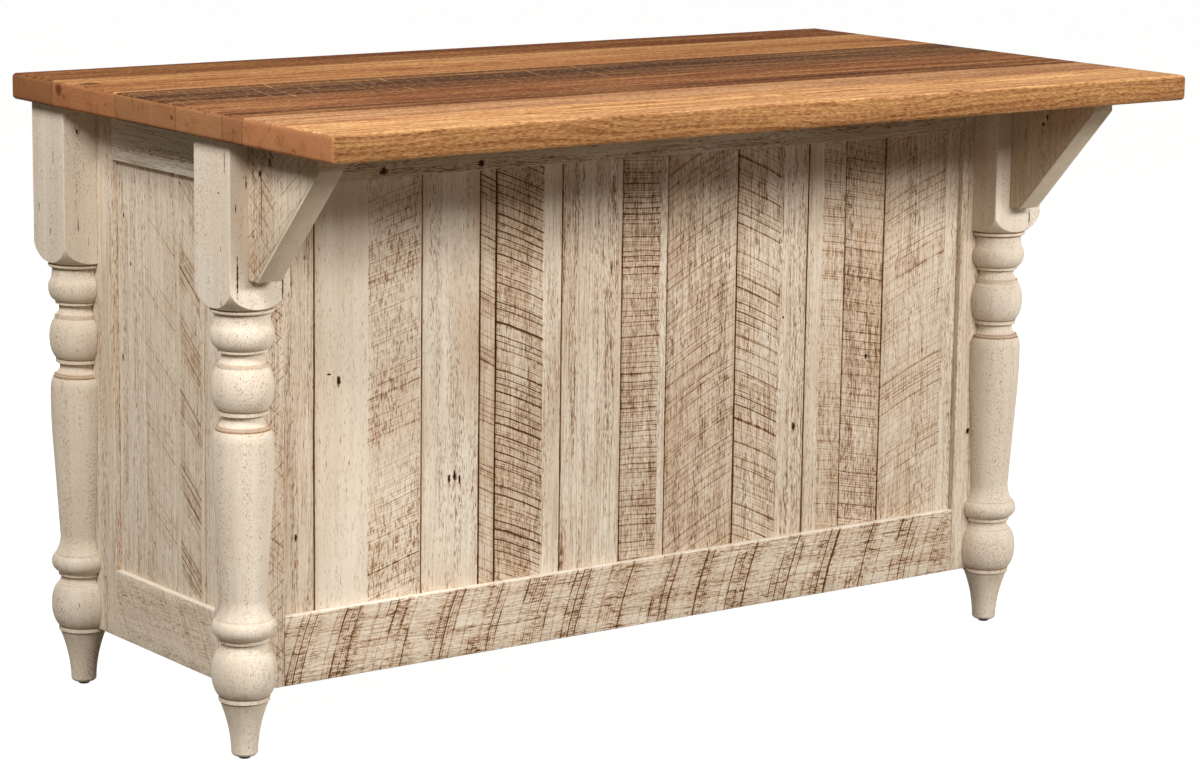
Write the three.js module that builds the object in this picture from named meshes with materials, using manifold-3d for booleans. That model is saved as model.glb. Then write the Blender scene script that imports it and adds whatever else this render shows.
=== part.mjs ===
// Kitchen island unit: a worktop of glued boards on four turned legs, with a painted cabinet
// between the legs and an overhang for seats, carried by two brackets.
// Millimetres, +Z up. X runs along the island, -Y is the seating side and +Y the working side.
// The origin is on the floor, under the middle of the worktop.
import * as THREE from 'three';
import { mergeVertices } from 'three/addons/utils/BufferGeometryUtils.js';
import Module from 'manifold-3d';

const wasm = await Module();
wasm.setup();

// Clearances
const fit = 0.3; // between pieces that touch
const plankGap = 0.8; // between neighbouring planks
const leafGap = 2; // round a door leaf or a drawer front
const drawerSideGap = 3; // from a drawer's side to the edge of its opening
const drawerTopGap = 15; // over a drawer's sides
const drawerBackGap = 15; // behind a drawer
const cutPast = 2; // how far a cutting box runs past the solid that it cuts

// Fineness of the round forms
const mergeDistance = 1e-4; // corners closer than this are one
const leastStep = 1e-3; // shortest step along a turned profile
const turningSides = 18;
const longCut = 25; // a stretch of turning longer than this takes the long steps
const shortCutSteps = 2;
const longCutSteps = 4;
const shoulderSteps = 5;
const easeSteps = 2;
const glideSides = 16;
const hardwareSides = 12;
const hardwareSteps = 3; // along each curve of a knob or a hinge

// Worktop
const islandHeight = 914.4;
const topLength = 1524;
const topWidth = 880;
const topThickness = 38.1;
const topEase = 6; // radius of the eased edges
const boardWidths = [224, 52, 124, 168, 186, 126]; // from the seating edge
const boardColours = [0xc28a55, 0x9a6a4b, 0x9c6f55, 0x7d5a45, 0xc58f58, 0x835537];

// Where the legs stand under the worktop
const endOverhang = 19;
const workOverhang = 26;
const seatOverhang = 290;

// Legs and glides
const legWidth = 95.25;
const blockHeight = 235;
const legStandOut = 6.4; // from the cabinet's corner to the leg's axis, both ways
const shoulderDrop = 34; // height of the round shoulder under the square block
const shoulderDepth = 2.6; // cut below the block's face where the shoulder ends
// The pulls of the shoulder's curve: how far in from the block's corner, and height over its foot.
const shoulderPulls = [[0, 20], [9.3, 8]];
const glideHeight = 5;
const glideRadius = 8.5;

// The turning below the block, from the top down. Depths are cut below the block's face, at
// the start, middle and end of each stretch. A bead swells round, and a sweep bends gently.
const beadInset = 0.2; // of a bead's length, from its ends to the pulls of its curve
const turning = [
  { cut: 'straight', length: 1, depths: [5.6, 5.6, 5.6] },
  { cut: 'bead', length: 6, depths: [5.6, 3, 5.6] },
  { cut: 'sweep', length: 18, depths: [8.2, 8.8, 6.8] },
  { cut: 'bead', length: 33.5, depths: [6.8, 3.3, 13.6] },
  { cut: 'straight', length: 3.5, depths: [12.8, 12.8, 12.8] },
  { cut: 'sweep', length: 17, depths: [16.6, 18.2, 12.6] },
  { cut: 'straight', length: 4.5, depths: [11.6, 11.6, 11.6] },
  { cut: 'bead', length: 61, depths: [11.2, 3.6, 14.4] },
  { cut: 'straight', length: 5, depths: [12.8, 12.8, 12.8] },
  { cut: 'sweep', length: 17.5, depths: [16.2, 18.2, 11.2] },
  { cut: 'straight', length: 4.5, depths: [9.8, 9.8, 9.8] },
  { cut: 'sweep', length: 14, depths: [8.1, 5.6, 4.6] },
  { cut: 'sweep', length: 90, depths: [4.6, 4.9, 7.2] },
  { cut: 'sweep', length: 130, depths: [7.2, 11.4, 15.5] },
  { cut: 'sweep', length: 32.5, depths: [15.5, 15, 8.6] },
  { cut: 'bead', length: 28.5, depths: [9.2, 2.4, 12.6] },
  { cut: 'straight', length: 5, depths: [12.4, 12.4, 12.4] },
  { cut: 'sweep', length: 14, depths: [14.6, 15.4, 10.6] },
  { cut: 'bead', length: 65, depths: [10.2, 1.6, 13.2] },
  { cut: 'straight', length: 5.5, depths: [11.6, 11.6, 11.6] },
  { cut: 'sweep', length: 75.5, depths: [12.8, 24.4, 28.9] },
  { cut: 'sweep', length: 4.5, depths: [28.9, 29.5, 32] },
];

// Brackets under the overhang
const bracketThickness = 38;
const bracketReach = 182;
const bracketHeight = 192;
const bracketNose = 24; // upright cut at the front
const bracketFoot = 25; // level cut at the bottom

// Cabinet frames and planks
const cabinetClearance = 90; // floor to the cabinet's underside
const frameThickness = 22;
const stileWidth = 63.5;
const topRailHeight = 76.2;
const bottomRailHeight = 101.6;
const plankRecess = 9.5; // plank face behind the frame's face
const rebate = 10; // how far the planks reach behind the frame's lip
const plankWidths = [55, 180, 100, 28, 117, 110, 84, 132, 138, 75, 79, 153]; // as seen, from -X

// Inside
const floorThickness = 18;
const partitionThickness = 18;
const partitionSetBack = 6; // partition behind the edge of the drawer opening
const runnerHeight = 20;
const runnerBearing = 8; // how far a runner reaches under a drawer's side
const shelfThickness = 18;
const shelfRise = 280; // cabinet floor to the shelf's underside
const shelfSetBack = 30; // shelf edge behind the face frame

// Doors and drawers on the working side
const mullionWidth = 63.5;
const drawerRailHeight = 25.4;
const topDrawerHeight = 152.4;
const doorStileWidth = 57;
const doorRecess = 8; // panel behind the door's face
const doorBackRecess = 6; // panel behind the door's back
const drawerWall = 12;
const drawerBottom = 8;

// Hinges and knobs
const hingeLength = 64;
const hingeInset = 90; // from the end of the door to the middle of the hinge
const hingeRadius = 4.4;
const hingeTip = 3; // length of the rounded tip of the pin
const hingeAxisOut = 5; // hinge axis in front of the frame's face
const leafWidth = 16;
const leafThickness = 1.6;
const knobRadius = 16;
const knobReach = 28;
const knobFootRadius = 10;
const knobNeckRadius = 7;
const knobFootHeight = 2.5;
const knobNeckHeight = 9; // where the neck is thinnest
const knobHeadHeight = 18; // where the head is widest
const doorKnobHeight = 0.62; // share of the door's height

// Planes and places that follow from the sizes
const caseTop = islandHeight - topThickness - fit;
const legX = topLength / 2 - endOverhang - legWidth / 2;
const legSeatY = -topWidth / 2 + seatOverhang + legWidth / 2;
const legWorkY = topWidth / 2 - workOverhang - legWidth / 2;
const endX = legX - legStandOut;
const seatY = legSeatY + legStandOut;
const workY = legWorkY - legStandOut;
const openLow = cabinetClearance + bottomRailHeight;
const openHigh = islandHeight - topThickness - topRailHeight;
const openHalf = endX - stileWidth;
const insideX = endX - frameThickness - fit;
const insideSeatY = seatY + frameThickness + fit;
const insideWorkY = workY - frameThickness - fit;
const bayWidth = (2 * openHalf - 2 * mullionWidth) / 3;
const partitionX = bayWidth / 2 + partitionSetBack;

const sides = [
  { name: 'left', sign: -1 },
  { name: 'right', sign: 1 },
];

function wood(colour) {
  return new THREE.MeshStandardMaterial({ color: colour, roughness: 0.6, metalness: 0 });
}

const paint = wood(0xd8ccb6);
const plankPaint = wood(0xcfc0a6);
const railPaint = wood(0xc6b597);
const bareWood = wood(0xc9a878);
const iron = new THREE.MeshStandardMaterial({ color: 0x2c2622, roughness: 0.5, metalness: 0.8 });
const glidePlastic = new THREE.MeshStandardMaterial({ color: 0x2a211c, roughness: 0.7 });

const island = new THREE.Group();

function addPiece(group, name, geometry, material) {
  const piece = new THREE.Mesh(geometry, material);
  piece.name = name;
  group.add(piece);
  return piece;
}

function addGroup(x, y, z) {
  const group = new THREE.Group();
  group.position.set(x, y, z);
  island.add(group);
  return group;
}

// A box from its lowest corner to its highest one.
function boxBetween(low, high) {
  const size = high.map((value, i) => value - low[i]);
  const middle = high.map((value, i) => (value + low[i]) / 2);
  return new THREE.BoxGeometry(...size).translate(...middle);
}

// A closed geometry as a solid that can be cut and joined.
function solidOf(geometry) {
  const bare = new THREE.BufferGeometry();
  bare.setAttribute('position', geometry.getAttribute('position'));
  if (geometry.index) bare.setIndex(geometry.index);
  const merged = mergeVertices(bare, mergeDistance);
  const corners = merged.index.array;
  const triVerts = [];
  for (let i = 0; i < corners.length; i += 3) {
    const [a, b, c] = corners.slice(i, i + 3);
    if (a !== b && b !== c && c !== a) triVerts.push(a, b, c);
  }
  const vertProperties = Float32Array.from(merged.getAttribute('position').array);
  const mesh = new wasm.Mesh({ numProp: 3, vertProperties, triVerts: Uint32Array.from(triVerts) });
  return new wasm.Manifold(mesh);
}

function geometryOf(solid) {
  const mesh = solid.getMesh();
  const geometry = new THREE.BufferGeometry();
  geometry.setAttribute('position', new THREE.BufferAttribute(mesh.vertProperties, 3));
  geometry.setIndex(new THREE.BufferAttribute(mesh.triVerts, 1));
  geometry.computeVertexNormals();
  return geometry;
}

function cutBoxes(geometry, boxes) {
  const solid = boxes.reduce((rest, box) => rest.subtract(solidOf(box)), solidOf(geometry));
  return geometryOf(solid);
}

// Widths scaled alike so that together they fill the total.
function fillWidth(widths, total) {
  const sum = widths.reduce((a, b) => a + b, 0);
  return widths.map((width) => (width * total) / sum);
}

// A window through a frame that lies in X and Z and is frameThickness thick from Y 0.
function windowBox(left, right, low, high) {
  return boxBetween([left, -cutPast, low], [right, frameThickness + cutPast, high]);
}

function addWorktop() {
  const group = addGroup(0, 0, islandHeight - topThickness);
  const outline = new THREE.Shape([
    new THREE.Vector2(-topLength / 2, -topWidth / 2),
    new THREE.Vector2(topLength / 2, -topWidth / 2),
    new THREE.Vector2(topLength / 2, topWidth / 2),
    new THREE.Vector2(-topLength / 2, topWidth / 2),
  ]);
  const slab = new THREE.ExtrudeGeometry(outline, {
    depth: topThickness - 2 * topEase,
    bevelThickness: topEase,
    bevelSize: topEase,
    bevelOffset: -topEase,
    bevelSegments: easeSteps,
  }).translate(0, 0, topEase);
  const slabSolid = solidOf(slab);
  const half = topLength / 2 + cutPast;
  let edge = -topWidth / 2;
  fillWidth(boardWidths, topWidth).forEach((width, i) => {
    const first = i === 0;
    const last = i === boardWidths.length - 1;
    const low = first ? edge - cutPast : edge + fit / 2;
    const high = last ? edge + width + cutPast : edge + width - fit / 2;
    const part = boxBetween([-half, low, -cutPast], [half, high, topThickness + cutPast]);
    const board = geometryOf(slabSolid.intersect(solidOf(part)));
    addPiece(group, `worktop_board_${i + 1}`, board, wood(boardColours[i]));
    edge += width;
  });
}

// One stretch of turning from its top edge down to its lower one. The curve passes through the
// three radii.
function turnedStretch({ cut, length, depths }, top, bottom) {
  const [start, middle, end] = depths.map((depth) => legWidth / 2 - depth);
  const path = new THREE.Path();
  path.moveTo(start, top);
  if (cut === 'straight') {
    path.lineTo(end, bottom);
  } else if (cut === 'sweep') {
    const pull = 2 * middle - (start + end) / 2;
    path.quadraticCurveTo(pull, (top + bottom) / 2, end, bottom);
  } else {
    const pull = (8 * middle - start - end) / 6;
    const inset = (top - bottom) * beadInset;
    path.bezierCurveTo(pull, top - inset, pull, bottom + inset, end, bottom);
  }
  return path.getPoints(length > longCut ? longCutSteps : shortCutSteps);
}

// Half the leg's section, from the middle of its foot to the middle of its top. The blank is
// turned wide enough for its flat sides to clear the corners of the square block.
function legProfile() {
  const half = legWidth / 2;
  const blockFoot = caseTop - blockHeight;
  const nominal = turning.reduce((sum, { length }) => sum + length, 0);
  const stretch = (blockFoot - glideHeight) / nominal;
  const corner = (half * Math.SQRT2) / Math.cos(Math.PI / turningSides);
  const points = [new THREE.Vector2(0, caseTop), new THREE.Vector2(corner, caseTop)];
  const shoulder = new THREE.Path();
  const pulls = shoulderPulls.flatMap(([inwards, rise]) => [corner - inwards, blockFoot + rise]);
  shoulder.moveTo(corner, blockFoot + shoulderDrop);
  shoulder.bezierCurveTo(...pulls, half - shoulderDepth, blockFoot);
  points.push(...shoulder.getPoints(shoulderSteps));
  let height = blockFoot;
  for (const row of turning) {
    const next = height - row.length * stretch;
    points.push(...turnedStretch(row, height, next));
    height = next;
  }
  points.push(new THREE.Vector2(0, height));
  const isNew = (point, i) => i === 0 || point.distanceTo(points[i - 1]) > leastStep;
  return points.filter(isNew).reverse();
}

// The leg stands on its own axis. The notch for the cabinet's corner faces +X and +Y.
function legGeometry() {
  const half = legWidth / 2;
  const turned = new THREE.LatheGeometry(legProfile(), turningSides).rotateX(Math.PI / 2);
  const blank = boxBetween([-half, -half, 0], [half, half, caseTop + cutPast]);
  const notchEdge = legStandOut - fit;
  const notch = boxBetween(
    [notchEdge, notchEdge, cabinetClearance - fit],
    [legWidth, legWidth, caseTop + cutPast],
  );
  return geometryOf(solidOf(turned).intersect(solidOf(blank)).subtract(solidOf(notch)));
}

function addLegs() {
  const group = addGroup(0, 0, 0);
  const leg = legGeometry();
  const glideTall = glideHeight - fit;
  const glide = new THREE.CylinderGeometry(glideRadius, glideRadius, glideTall, glideSides)
    .rotateX(Math.PI / 2);
  const corners = [
    { name: 'seating_left', x: -legX, y: legSeatY, turns: 0 },
    { name: 'seating_right', x: legX, y: legSeatY, turns: 1 },
    { name: 'working_right', x: legX, y: legWorkY, turns: 2 },
    { name: 'working_left', x: -legX, y: legWorkY, turns: 3 },
  ];
  for (const { name, x, y, turns } of corners) {
    const post = addPiece(group, `leg_${name}`, leg, paint);
    post.position.set(x, y, 0);
    post.rotation.z = (turns * Math.PI) / 2;
    addPiece(group, `glide_${name}`, glide, glidePlastic).position.set(x, y, glideTall / 2);
  }
}

function addBrackets() {
  const group = addGroup(0, legSeatY - legWidth / 2 - fit, caseTop);
  const side = new THREE.Shape([
    new THREE.Vector2(0, 0),
    new THREE.Vector2(0, -bracketHeight),
    new THREE.Vector2(bracketFoot, -bracketHeight),
    new THREE.Vector2(bracketReach, -bracketNose),
    new THREE.Vector2(bracketReach, 0),
  ]);
  const bracket = new THREE.ExtrudeGeometry(side, { depth: bracketThickness, bevelEnabled: false })
    .translate(0, 0, -bracketThickness / 2)
    .rotateX(Math.PI / 2)
    .rotateZ(-Math.PI / 2);
  for (const { name, sign } of sides) {
    addPiece(group, `bracket_${name}`, bracket, paint).position.x = sign * legX;
  }
}

// The room that a field of planks takes behind a frame's lip, cut from the frame as a rebate.
function plankRoom(half) {
  return boxBetween(
    [-half - rebate, plankRecess - fit, openLow - rebate],
    [half + rebate, frameThickness + cutPast, openHigh + rebate],
  );
}

function addSeatingSide() {
  const group = addGroup(0, seatY, 0);
  const room = plankRoom(openHalf);
  const railEnd = openHalf - fit;
  for (const { name, sign } of sides) {
    const edges = [sign * endX, sign * openHalf].sort((a, b) => a - b);
    const stile = boxBetween(
      [edges[0], 0, cabinetClearance],
      [edges[1], frameThickness, caseTop],
    );
    addPiece(group, `seating_stile_${name}`, cutBoxes(stile, [room]), plankPaint);
  }
  const topRail = boxBetween([-railEnd, 0, openHigh], [railEnd, frameThickness, caseTop]);
  const bottomRail = boxBetween([-railEnd, 0, cabinetClearance], [railEnd, frameThickness, openLow]);
  addPiece(group, 'seating_top_rail', cutBoxes(topRail, [room]), railPaint);
  addPiece(group, 'seating_bottom_rail', cutBoxes(bottomRail, [room]), railPaint);

  const hidden = rebate - fit; // plank behind the lip
  let edge = -openHalf;
  fillWidth(plankWidths, 2 * openHalf).forEach((width, i) => {
    const left = i === 0 ? edge - hidden : edge + plankGap / 2;
    const right = i === plankWidths.length - 1 ? edge + width + hidden : edge + width - plankGap / 2;
    const plank = boxBetween(
      [left, plankRecess, openLow - hidden],
      [right, frameThickness, openHigh + hidden],
    );
    const number = String(i + 1).padStart(2, '0');
    addPiece(group, `seating_plank_${number}`, plank, plankPaint);
    edge += width;
  });
}

// An end stands between the seating frame and the face frame, its face turned outwards.
function addEnds() {
  const half = (insideWorkY - insideSeatY) / 2;
  const openEnd = half - stileWidth;
  const blank = boxBetween([-half, 0, cabinetClearance], [half, frameThickness, caseTop]);
  const opening = windowBox(-openEnd, openEnd, openLow, openHigh);
  const frame = cutBoxes(blank, [opening, plankRoom(openEnd)]);
  const hidden = rebate - fit;
  const panel = boxBetween(
    [-openEnd - hidden, plankRecess, openLow - hidden],
    [openEnd + hidden, frameThickness, openHigh + hidden],
  );
  for (const { name, sign } of sides) {
    const group = addGroup(sign * endX, (insideSeatY + insideWorkY) / 2, 0);
    group.rotation.z = (sign * Math.PI) / 2;
    addPiece(group, `end_frame_${name}`, frame, plankPaint);
    addPiece(group, `end_panel_${name}`, panel, plankPaint);
  }
}

// The drawer openings from the top down, each by its name, underside and top edge.
function drawerOpenings() {
  const rest = openHigh - openLow - topDrawerHeight - 2 * drawerRailHeight;
  const heights = [topDrawerHeight, rest / 2, rest / 2];
  let high = openHigh;
  return ['top', 'middle', 'bottom'].map((name, i) => {
    const opening = { name, low: high - heights[i], high };
    high = opening.low - drawerRailHeight;
    return opening;
  });
}

function addFaceFrame() {
  const group = addGroup(0, workY - frameThickness, 0);
  const blank = boxBetween([-endX, 0, cabinetClearance], [endX, frameThickness, caseTop]);
  const drawerWindows = drawerOpenings().map(({ low, high }) => (
    windowBox(-bayWidth / 2, bayWidth / 2, low, high)
  ));
  const doorWindows = sides.map(({ sign }) => {
    const middle = sign * (openHalf - bayWidth / 2);
    return windowBox(middle - bayWidth / 2, middle + bayWidth / 2, openLow, openHigh);
  });
  const frame = cutBoxes(blank, [...drawerWindows, ...doorWindows]);
  addPiece(group, 'working_face_frame', frame, plankPaint);
}

function addInside() {
  const group = addGroup(0, 0, 0);
  const floor = boxBetween(
    [-insideX, insideSeatY, openLow - floorThickness],
    [insideX, insideWorkY, openLow],
  );
  addPiece(group, 'cabinet_floor', floor, bareWood);

  // The lowest drawer slides on the cabinet floor, and the others on runners.
  const board = boxBetween(
    [0, insideSeatY, openLow + fit],
    [partitionThickness, insideWorkY, caseTop],
  );
  const reach = partitionSetBack + drawerSideGap + runnerBearing;
  const runners = drawerOpenings().slice(0, -1).map(({ low }) => solidOf(boxBetween(
    [-reach, insideSeatY, low - runnerHeight],
    [partitionThickness / 2, insideWorkY, low],
  )));
  const partition = geometryOf(runners.reduce((all, runner) => all.add(runner), solidOf(board)));
  const shelfLow = openLow + shelfRise;
  const shelf = boxBetween(
    [partitionX + partitionThickness + fit, insideSeatY, shelfLow],
    [insideX, insideWorkY - shelfSetBack, shelfLow + shelfThickness],
  );
  for (const { name, sign } of sides) {
    const half = new THREE.Group();
    half.position.y = sign < 0 ? insideSeatY + insideWorkY : 0;
    half.rotation.z = sign < 0 ? Math.PI : 0;
    group.add(half);
    addPiece(half, `partition_${name}`, partition, bareWood).position.x = partitionX;
    addPiece(half, `shelf_${name}`, shelf, bareWood);
  }
}

// The leaf's face lies at Y 0 and looks along +Y. Its middle is over the group's origin.
function doorLeaf(width, height) {
  const half = width / 2;
  const inner = half - doorStileWidth;
  const [low, high] = [doorStileWidth, height - doorStileWidth];
  const leaf = boxBetween([-half, -frameThickness, 0], [half, 0, height]);
  const front = boxBetween([-inner, -doorRecess, low], [inner, cutPast, high]);
  const back = boxBetween(
    [-inner, -frameThickness - cutPast, low],
    [inner, -frameThickness + doorBackRecess, high],
  );
  return cutBoxes(leaf, [front, back]);
}

function hingeGeometry() {
  const half = hingeLength / 2;
  const barrel = new THREE.Path();
  barrel.moveTo(0, -half - hingeTip);
  barrel.quadraticCurveTo(hingeRadius, -half - hingeTip, hingeRadius, -half);
  barrel.lineTo(hingeRadius, half);
  barrel.quadraticCurveTo(hingeRadius, half + hingeTip, 0, half + hingeTip);
  const turned = new THREE.LatheGeometry(barrel.getPoints(hardwareSteps), hardwareSides)
    .rotateX(Math.PI / 2);
  const leaf = boxBetween(
    [-leafWidth, fit - hingeAxisOut, -half],
    [0, fit - hingeAxisOut + leafThickness, half],
  );
  return geometryOf(solidOf(turned).add(solidOf(leaf)));
}

// A turned knob on a plane that looks along +Y.
function knobGeometry() {
  const section = new THREE.Path();
  section.moveTo(0, fit);
  section.lineTo(knobFootRadius, fit);
  section.lineTo(knobFootRadius, knobFootHeight);
  section.quadraticCurveTo(knobNeckRadius, knobFootHeight, knobNeckRadius, knobNeckHeight);
  section.quadraticCurveTo(knobNeckRadius, knobHeadHeight, knobRadius, knobHeadHeight);
  section.bezierCurveTo(
    knobRadius, knobReach,
    knobRadius / 2, knobReach,
    0, knobReach,
  );
  return new THREE.LatheGeometry(section.getPoints(hardwareSteps), hardwareSides);
}

function addDoors(knob) {
  const width = bayWidth - 2 * leafGap;
  const height = openHigh - openLow - 2 * leafGap;
  const leaf = doorLeaf(width, height);
  const hinge = hingeGeometry();
  for (const { name, sign } of sides) {
    const group = addGroup(sign * (openHalf - bayWidth / 2), workY, openLow + leafGap);
    addPiece(group, `door_${name}`, leaf, plankPaint);
    const handle = addPiece(group, `door_knob_${name}`, knob, iron);
    handle.position.set(-sign * (width - doorStileWidth) / 2, 0, height * doorKnobHeight);
    const hingeSide = sign * (width + leafGap) / 2;
    const levels = [['upper', height - hingeInset], ['lower', hingeInset]];
    for (const [level, z] of levels) {
      const pivot = addPiece(group, `hinge_${name}_${level}`, hinge, iron);
      pivot.position.set(hingeSide, hingeAxisOut, z);
      pivot.rotation.y = sign > 0 ? Math.PI : 0;
    }
  }
}

function addDrawers(knob) {
  const frontHalf = bayWidth / 2 - leafGap;
  const boxHalf = bayWidth / 2 - drawerSideGap;
  const depth = insideWorkY - insideSeatY - drawerBackGap;
  for (const { name, low, high } of drawerOpenings()) {
    const group = addGroup(0, workY, low);
    const tall = high - low;
    const front = boxBetween([-frontHalf, -frameThickness, leafGap], [frontHalf, 0, tall - leafGap]);
    addPiece(group, `drawer_front_${name}`, front, plankPaint);
    const faceBack = -frameThickness - fit;
    const box = boxBetween([-boxHalf, faceBack - depth, fit], [boxHalf, faceBack, tall - drawerTopGap]);
    const hollow = boxBetween(
      [-boxHalf + drawerWall, faceBack - depth + drawerWall, fit + drawerBottom],
      [boxHalf - drawerWall, faceBack - drawerWall, tall + cutPast],
    );
    addPiece(group, `drawer_box_${name}`, cutBoxes(box, [hollow]), bareWood);
    addPiece(group, `drawer_knob_${name}`, knob, iron).position.z = tall / 2;
  }
}

addWorktop();
addLegs();
addBrackets();
addSeatingSide();
addEnds();
addFaceFrame();
addInside();
const knob = knobGeometry();
addDoors(knob);
addDrawers(knob);

export default island;
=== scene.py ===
"""Looks of the kitchen island: painted rough-sawn planks, turned legs and a varnished worktop.

The sizes of pieces, the places of knots and the stripes are in millimetres. All other lengths are
in metres, as in the frame: of the camera, the lamps, the saw marks and everything in the materials.
X runs along the island, -Y is the seating side and +Z is up.
"""
import math
from types import SimpleNamespace

import bmesh
import bpy
import numpy as np
from mathutils import Matrix, Vector, noise


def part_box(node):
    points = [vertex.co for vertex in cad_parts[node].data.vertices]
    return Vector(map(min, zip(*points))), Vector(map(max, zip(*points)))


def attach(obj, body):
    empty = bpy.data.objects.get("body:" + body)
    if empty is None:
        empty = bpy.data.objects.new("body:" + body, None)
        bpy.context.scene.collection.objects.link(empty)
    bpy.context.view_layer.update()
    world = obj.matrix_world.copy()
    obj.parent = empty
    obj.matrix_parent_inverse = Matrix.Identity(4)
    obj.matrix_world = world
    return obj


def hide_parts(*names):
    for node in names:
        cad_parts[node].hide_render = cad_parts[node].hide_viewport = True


MM = 0.001
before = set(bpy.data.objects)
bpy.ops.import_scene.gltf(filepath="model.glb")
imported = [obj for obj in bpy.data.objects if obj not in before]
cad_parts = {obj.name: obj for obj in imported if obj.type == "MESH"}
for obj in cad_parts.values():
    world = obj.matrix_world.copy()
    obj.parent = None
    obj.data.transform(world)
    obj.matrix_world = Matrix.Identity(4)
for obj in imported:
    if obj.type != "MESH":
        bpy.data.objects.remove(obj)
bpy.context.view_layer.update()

# Camera: where the photograph was taken from
CAMERA_LENS = 108.43
CAMERA_SENSOR = 36.0
CAMERA_PLACE = (-3.1978, -4.3106, 1.4695)
CAMERA_YAW = 36.487
CAMERA_PITCH = 10.937
CAMERA_ROLL = -0.794

# Boards. Widths of planks are shares of the field that they fill.
SIDES = ("left", "right")
DRAWER_PARTS = ("top", "middle", "bottom")
END_WIDTHS = (47, 81, 82, 84)
DOOR_WIDTHS = (70, 92, 58, 84)
FLOOR_WIDTHS = (5, 6, 5)
STILE_WIDTH = 63.5
PLANK_GAP = 0.8
LEAF_GAP = 2.0
DOOR_STILE = 57.0
DOOR_RECESS = 8.0
DOOR_BACK_RECESS = 6.0
DRAWER_WALL = 12.0
DRAWER_BOTTOM = 8.0
PARTITION = 18.0
RUNNER_HEIGHT = 20.0
BOARD_EASE = 1.2
BOARD_WEAR = 0.35
NEAT_WEAR = 0.1
DRAWER_EASE = 0.8
TOP_EASE = 6.0
SEAM_EASE = 0.24
EASE_TURNS = (45, 30, 15, 0)  # degrees round an eased edge, where its rows lie
GRID_STEP = 14.0
WAVE_SCALE = 17.0
NICK_SCALE = 60.0
EDGE_NICK = 1.6  # how much deeper than the wear a nick in an edge is
FIT = 0.3
BRACKET_NOSE = 24.0
BRACKET_FOOT = 25.0
SLOPE_BOARD = 5.0
CUT_PAST = 10.0  # how far a cut reaches past the face that it opens
SHARP_ANGLE = math.radians(38.0)

# Legs: the same turning as the solids, depths cut below the block's face
LEG_WIDTH = 95.25
BLOCK_HEIGHT = 235.0
BLOCK_EDGE = 1.6
SHOULDER_DROP = 34.0
SHOULDER_DEPTH = 2.6
SHOULDER_PULLS = ((0.0, 20.0), (9.3, 8.0))  # in from the block's corner, height over its foot
LEG_FROM_CORNER = 6.4
NOTCH_REACH = 100.0
LEG_NICK = 0.35
LEG_NICK_SCALE = 45.0
GLIDE_HEIGHT = 5.0
GLIDE_EASE = 1.2
GLIDE_SIDES = 32
BEAD_INSET = 0.2
LEAST_STEP = 0.05
TURNING_STEP = 3.5
TURNING_STEPS = 6  # the least number of rows in a curved cut
BLOCK_ROWS = 10
SHOULDER_ROWS = 12
SHOULDER_TRIES = 401
LEG_TURN = 5  # degrees
CORNER_TURNS = (-1.9, -1.4, -0.9, -0.45, 0.45, 0.9, 1.4, 1.9)  # degrees from a block's corner
QUIRK_REACH = 2.4
QUIRK_DEPTH = 1.6
QUIRK_LEAST = 0.1
TURNING = [  # from the shoulder down: the cut, its length and its depths at both ends and midway
    ("straight", 1, (5.6, 5.6, 5.6)),
    ("bead", 6, (5.6, 3, 5.6)),
    ("sweep", 18, (8.2, 8.8, 6.8)),
    ("bead", 33.5, (6.8, 3.3, 13.6)),
    ("straight", 3.5, (12.8, 12.8, 12.8)),
    ("sweep", 17, (16.6, 18.2, 12.6)),
    ("straight", 4.5, (11.6, 11.6, 11.6)),
    ("bead", 61, (11.2, 3.6, 14.4)),
    ("straight", 5, (12.8, 12.8, 12.8)),
    ("sweep", 17.5, (16.2, 18.2, 11.2)),
    ("straight", 4.5, (9.8, 9.8, 9.8)),
    ("sweep", 14, (8.1, 5.6, 4.6)),
    ("sweep", 90, (4.6, 4.9, 7.2)),
    ("sweep", 130, (7.2, 11.4, 15.5)),
    ("sweep", 32.5, (15.5, 15, 8.6)),
    ("bead", 28.5, (9.2, 2.4, 12.6)),
    ("straight", 5, (12.4, 12.4, 12.4)),
    ("sweep", 14, (14.6, 15.4, 10.6)),
    ("bead", 65, (10.2, 1.6, 13.2)),
    ("straight", 5.5, (11.6, 11.6, 11.6)),
    ("sweep", 75.5, (12.8, 24.4, 28.9)),
    ("sweep", 4.5, (28.9, 29.5, 32)),
]

# Hinges and knobs
HINGE_RADIUS = 4.4
HINGE_TIP = 3.0
HINGE_SIDES = 24
KNUCKLES = 5
KNUCKLE_GAP = 0.7
LEAF_WIDTH = 16.0
LEAF_THICKNESS = 1.6
LEAF_EASE = 0.3
SCREW_SHIFTS = {-1: 4.0, 0: 2.0, 1: 4.0}  # each screw's place in its leaf's height: how far outwards
SCREW_SPACING = 0.34
SCREW_SIDES = 20
KNOB_SIDES = 40
KNOB_ROWS = [
    (0.5, 0), (9.6, 0), (10, 0.4), (10, 2.2), (9.4, 2.9), (8, 4.4), (7.2, 6.4), (7, 9), (7.2, 11.4),
    (8.6, 13.6), (11.6, 15.4), (14.4, 16.8), (15.7, 18.4), (16, 20), (15.6, 22), (14.2, 24),
    (11.6, 25.8), (7.8, 27.1), (3.6, 27.7), (0.5, 27.7),
]
SCREW_ROWS = [(0.2, -0.4), (3.0, -0.4), (3.0, 0.1), (2.4, 0.55), (1.2, 0.8), (0.2, 0.85)]

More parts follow.
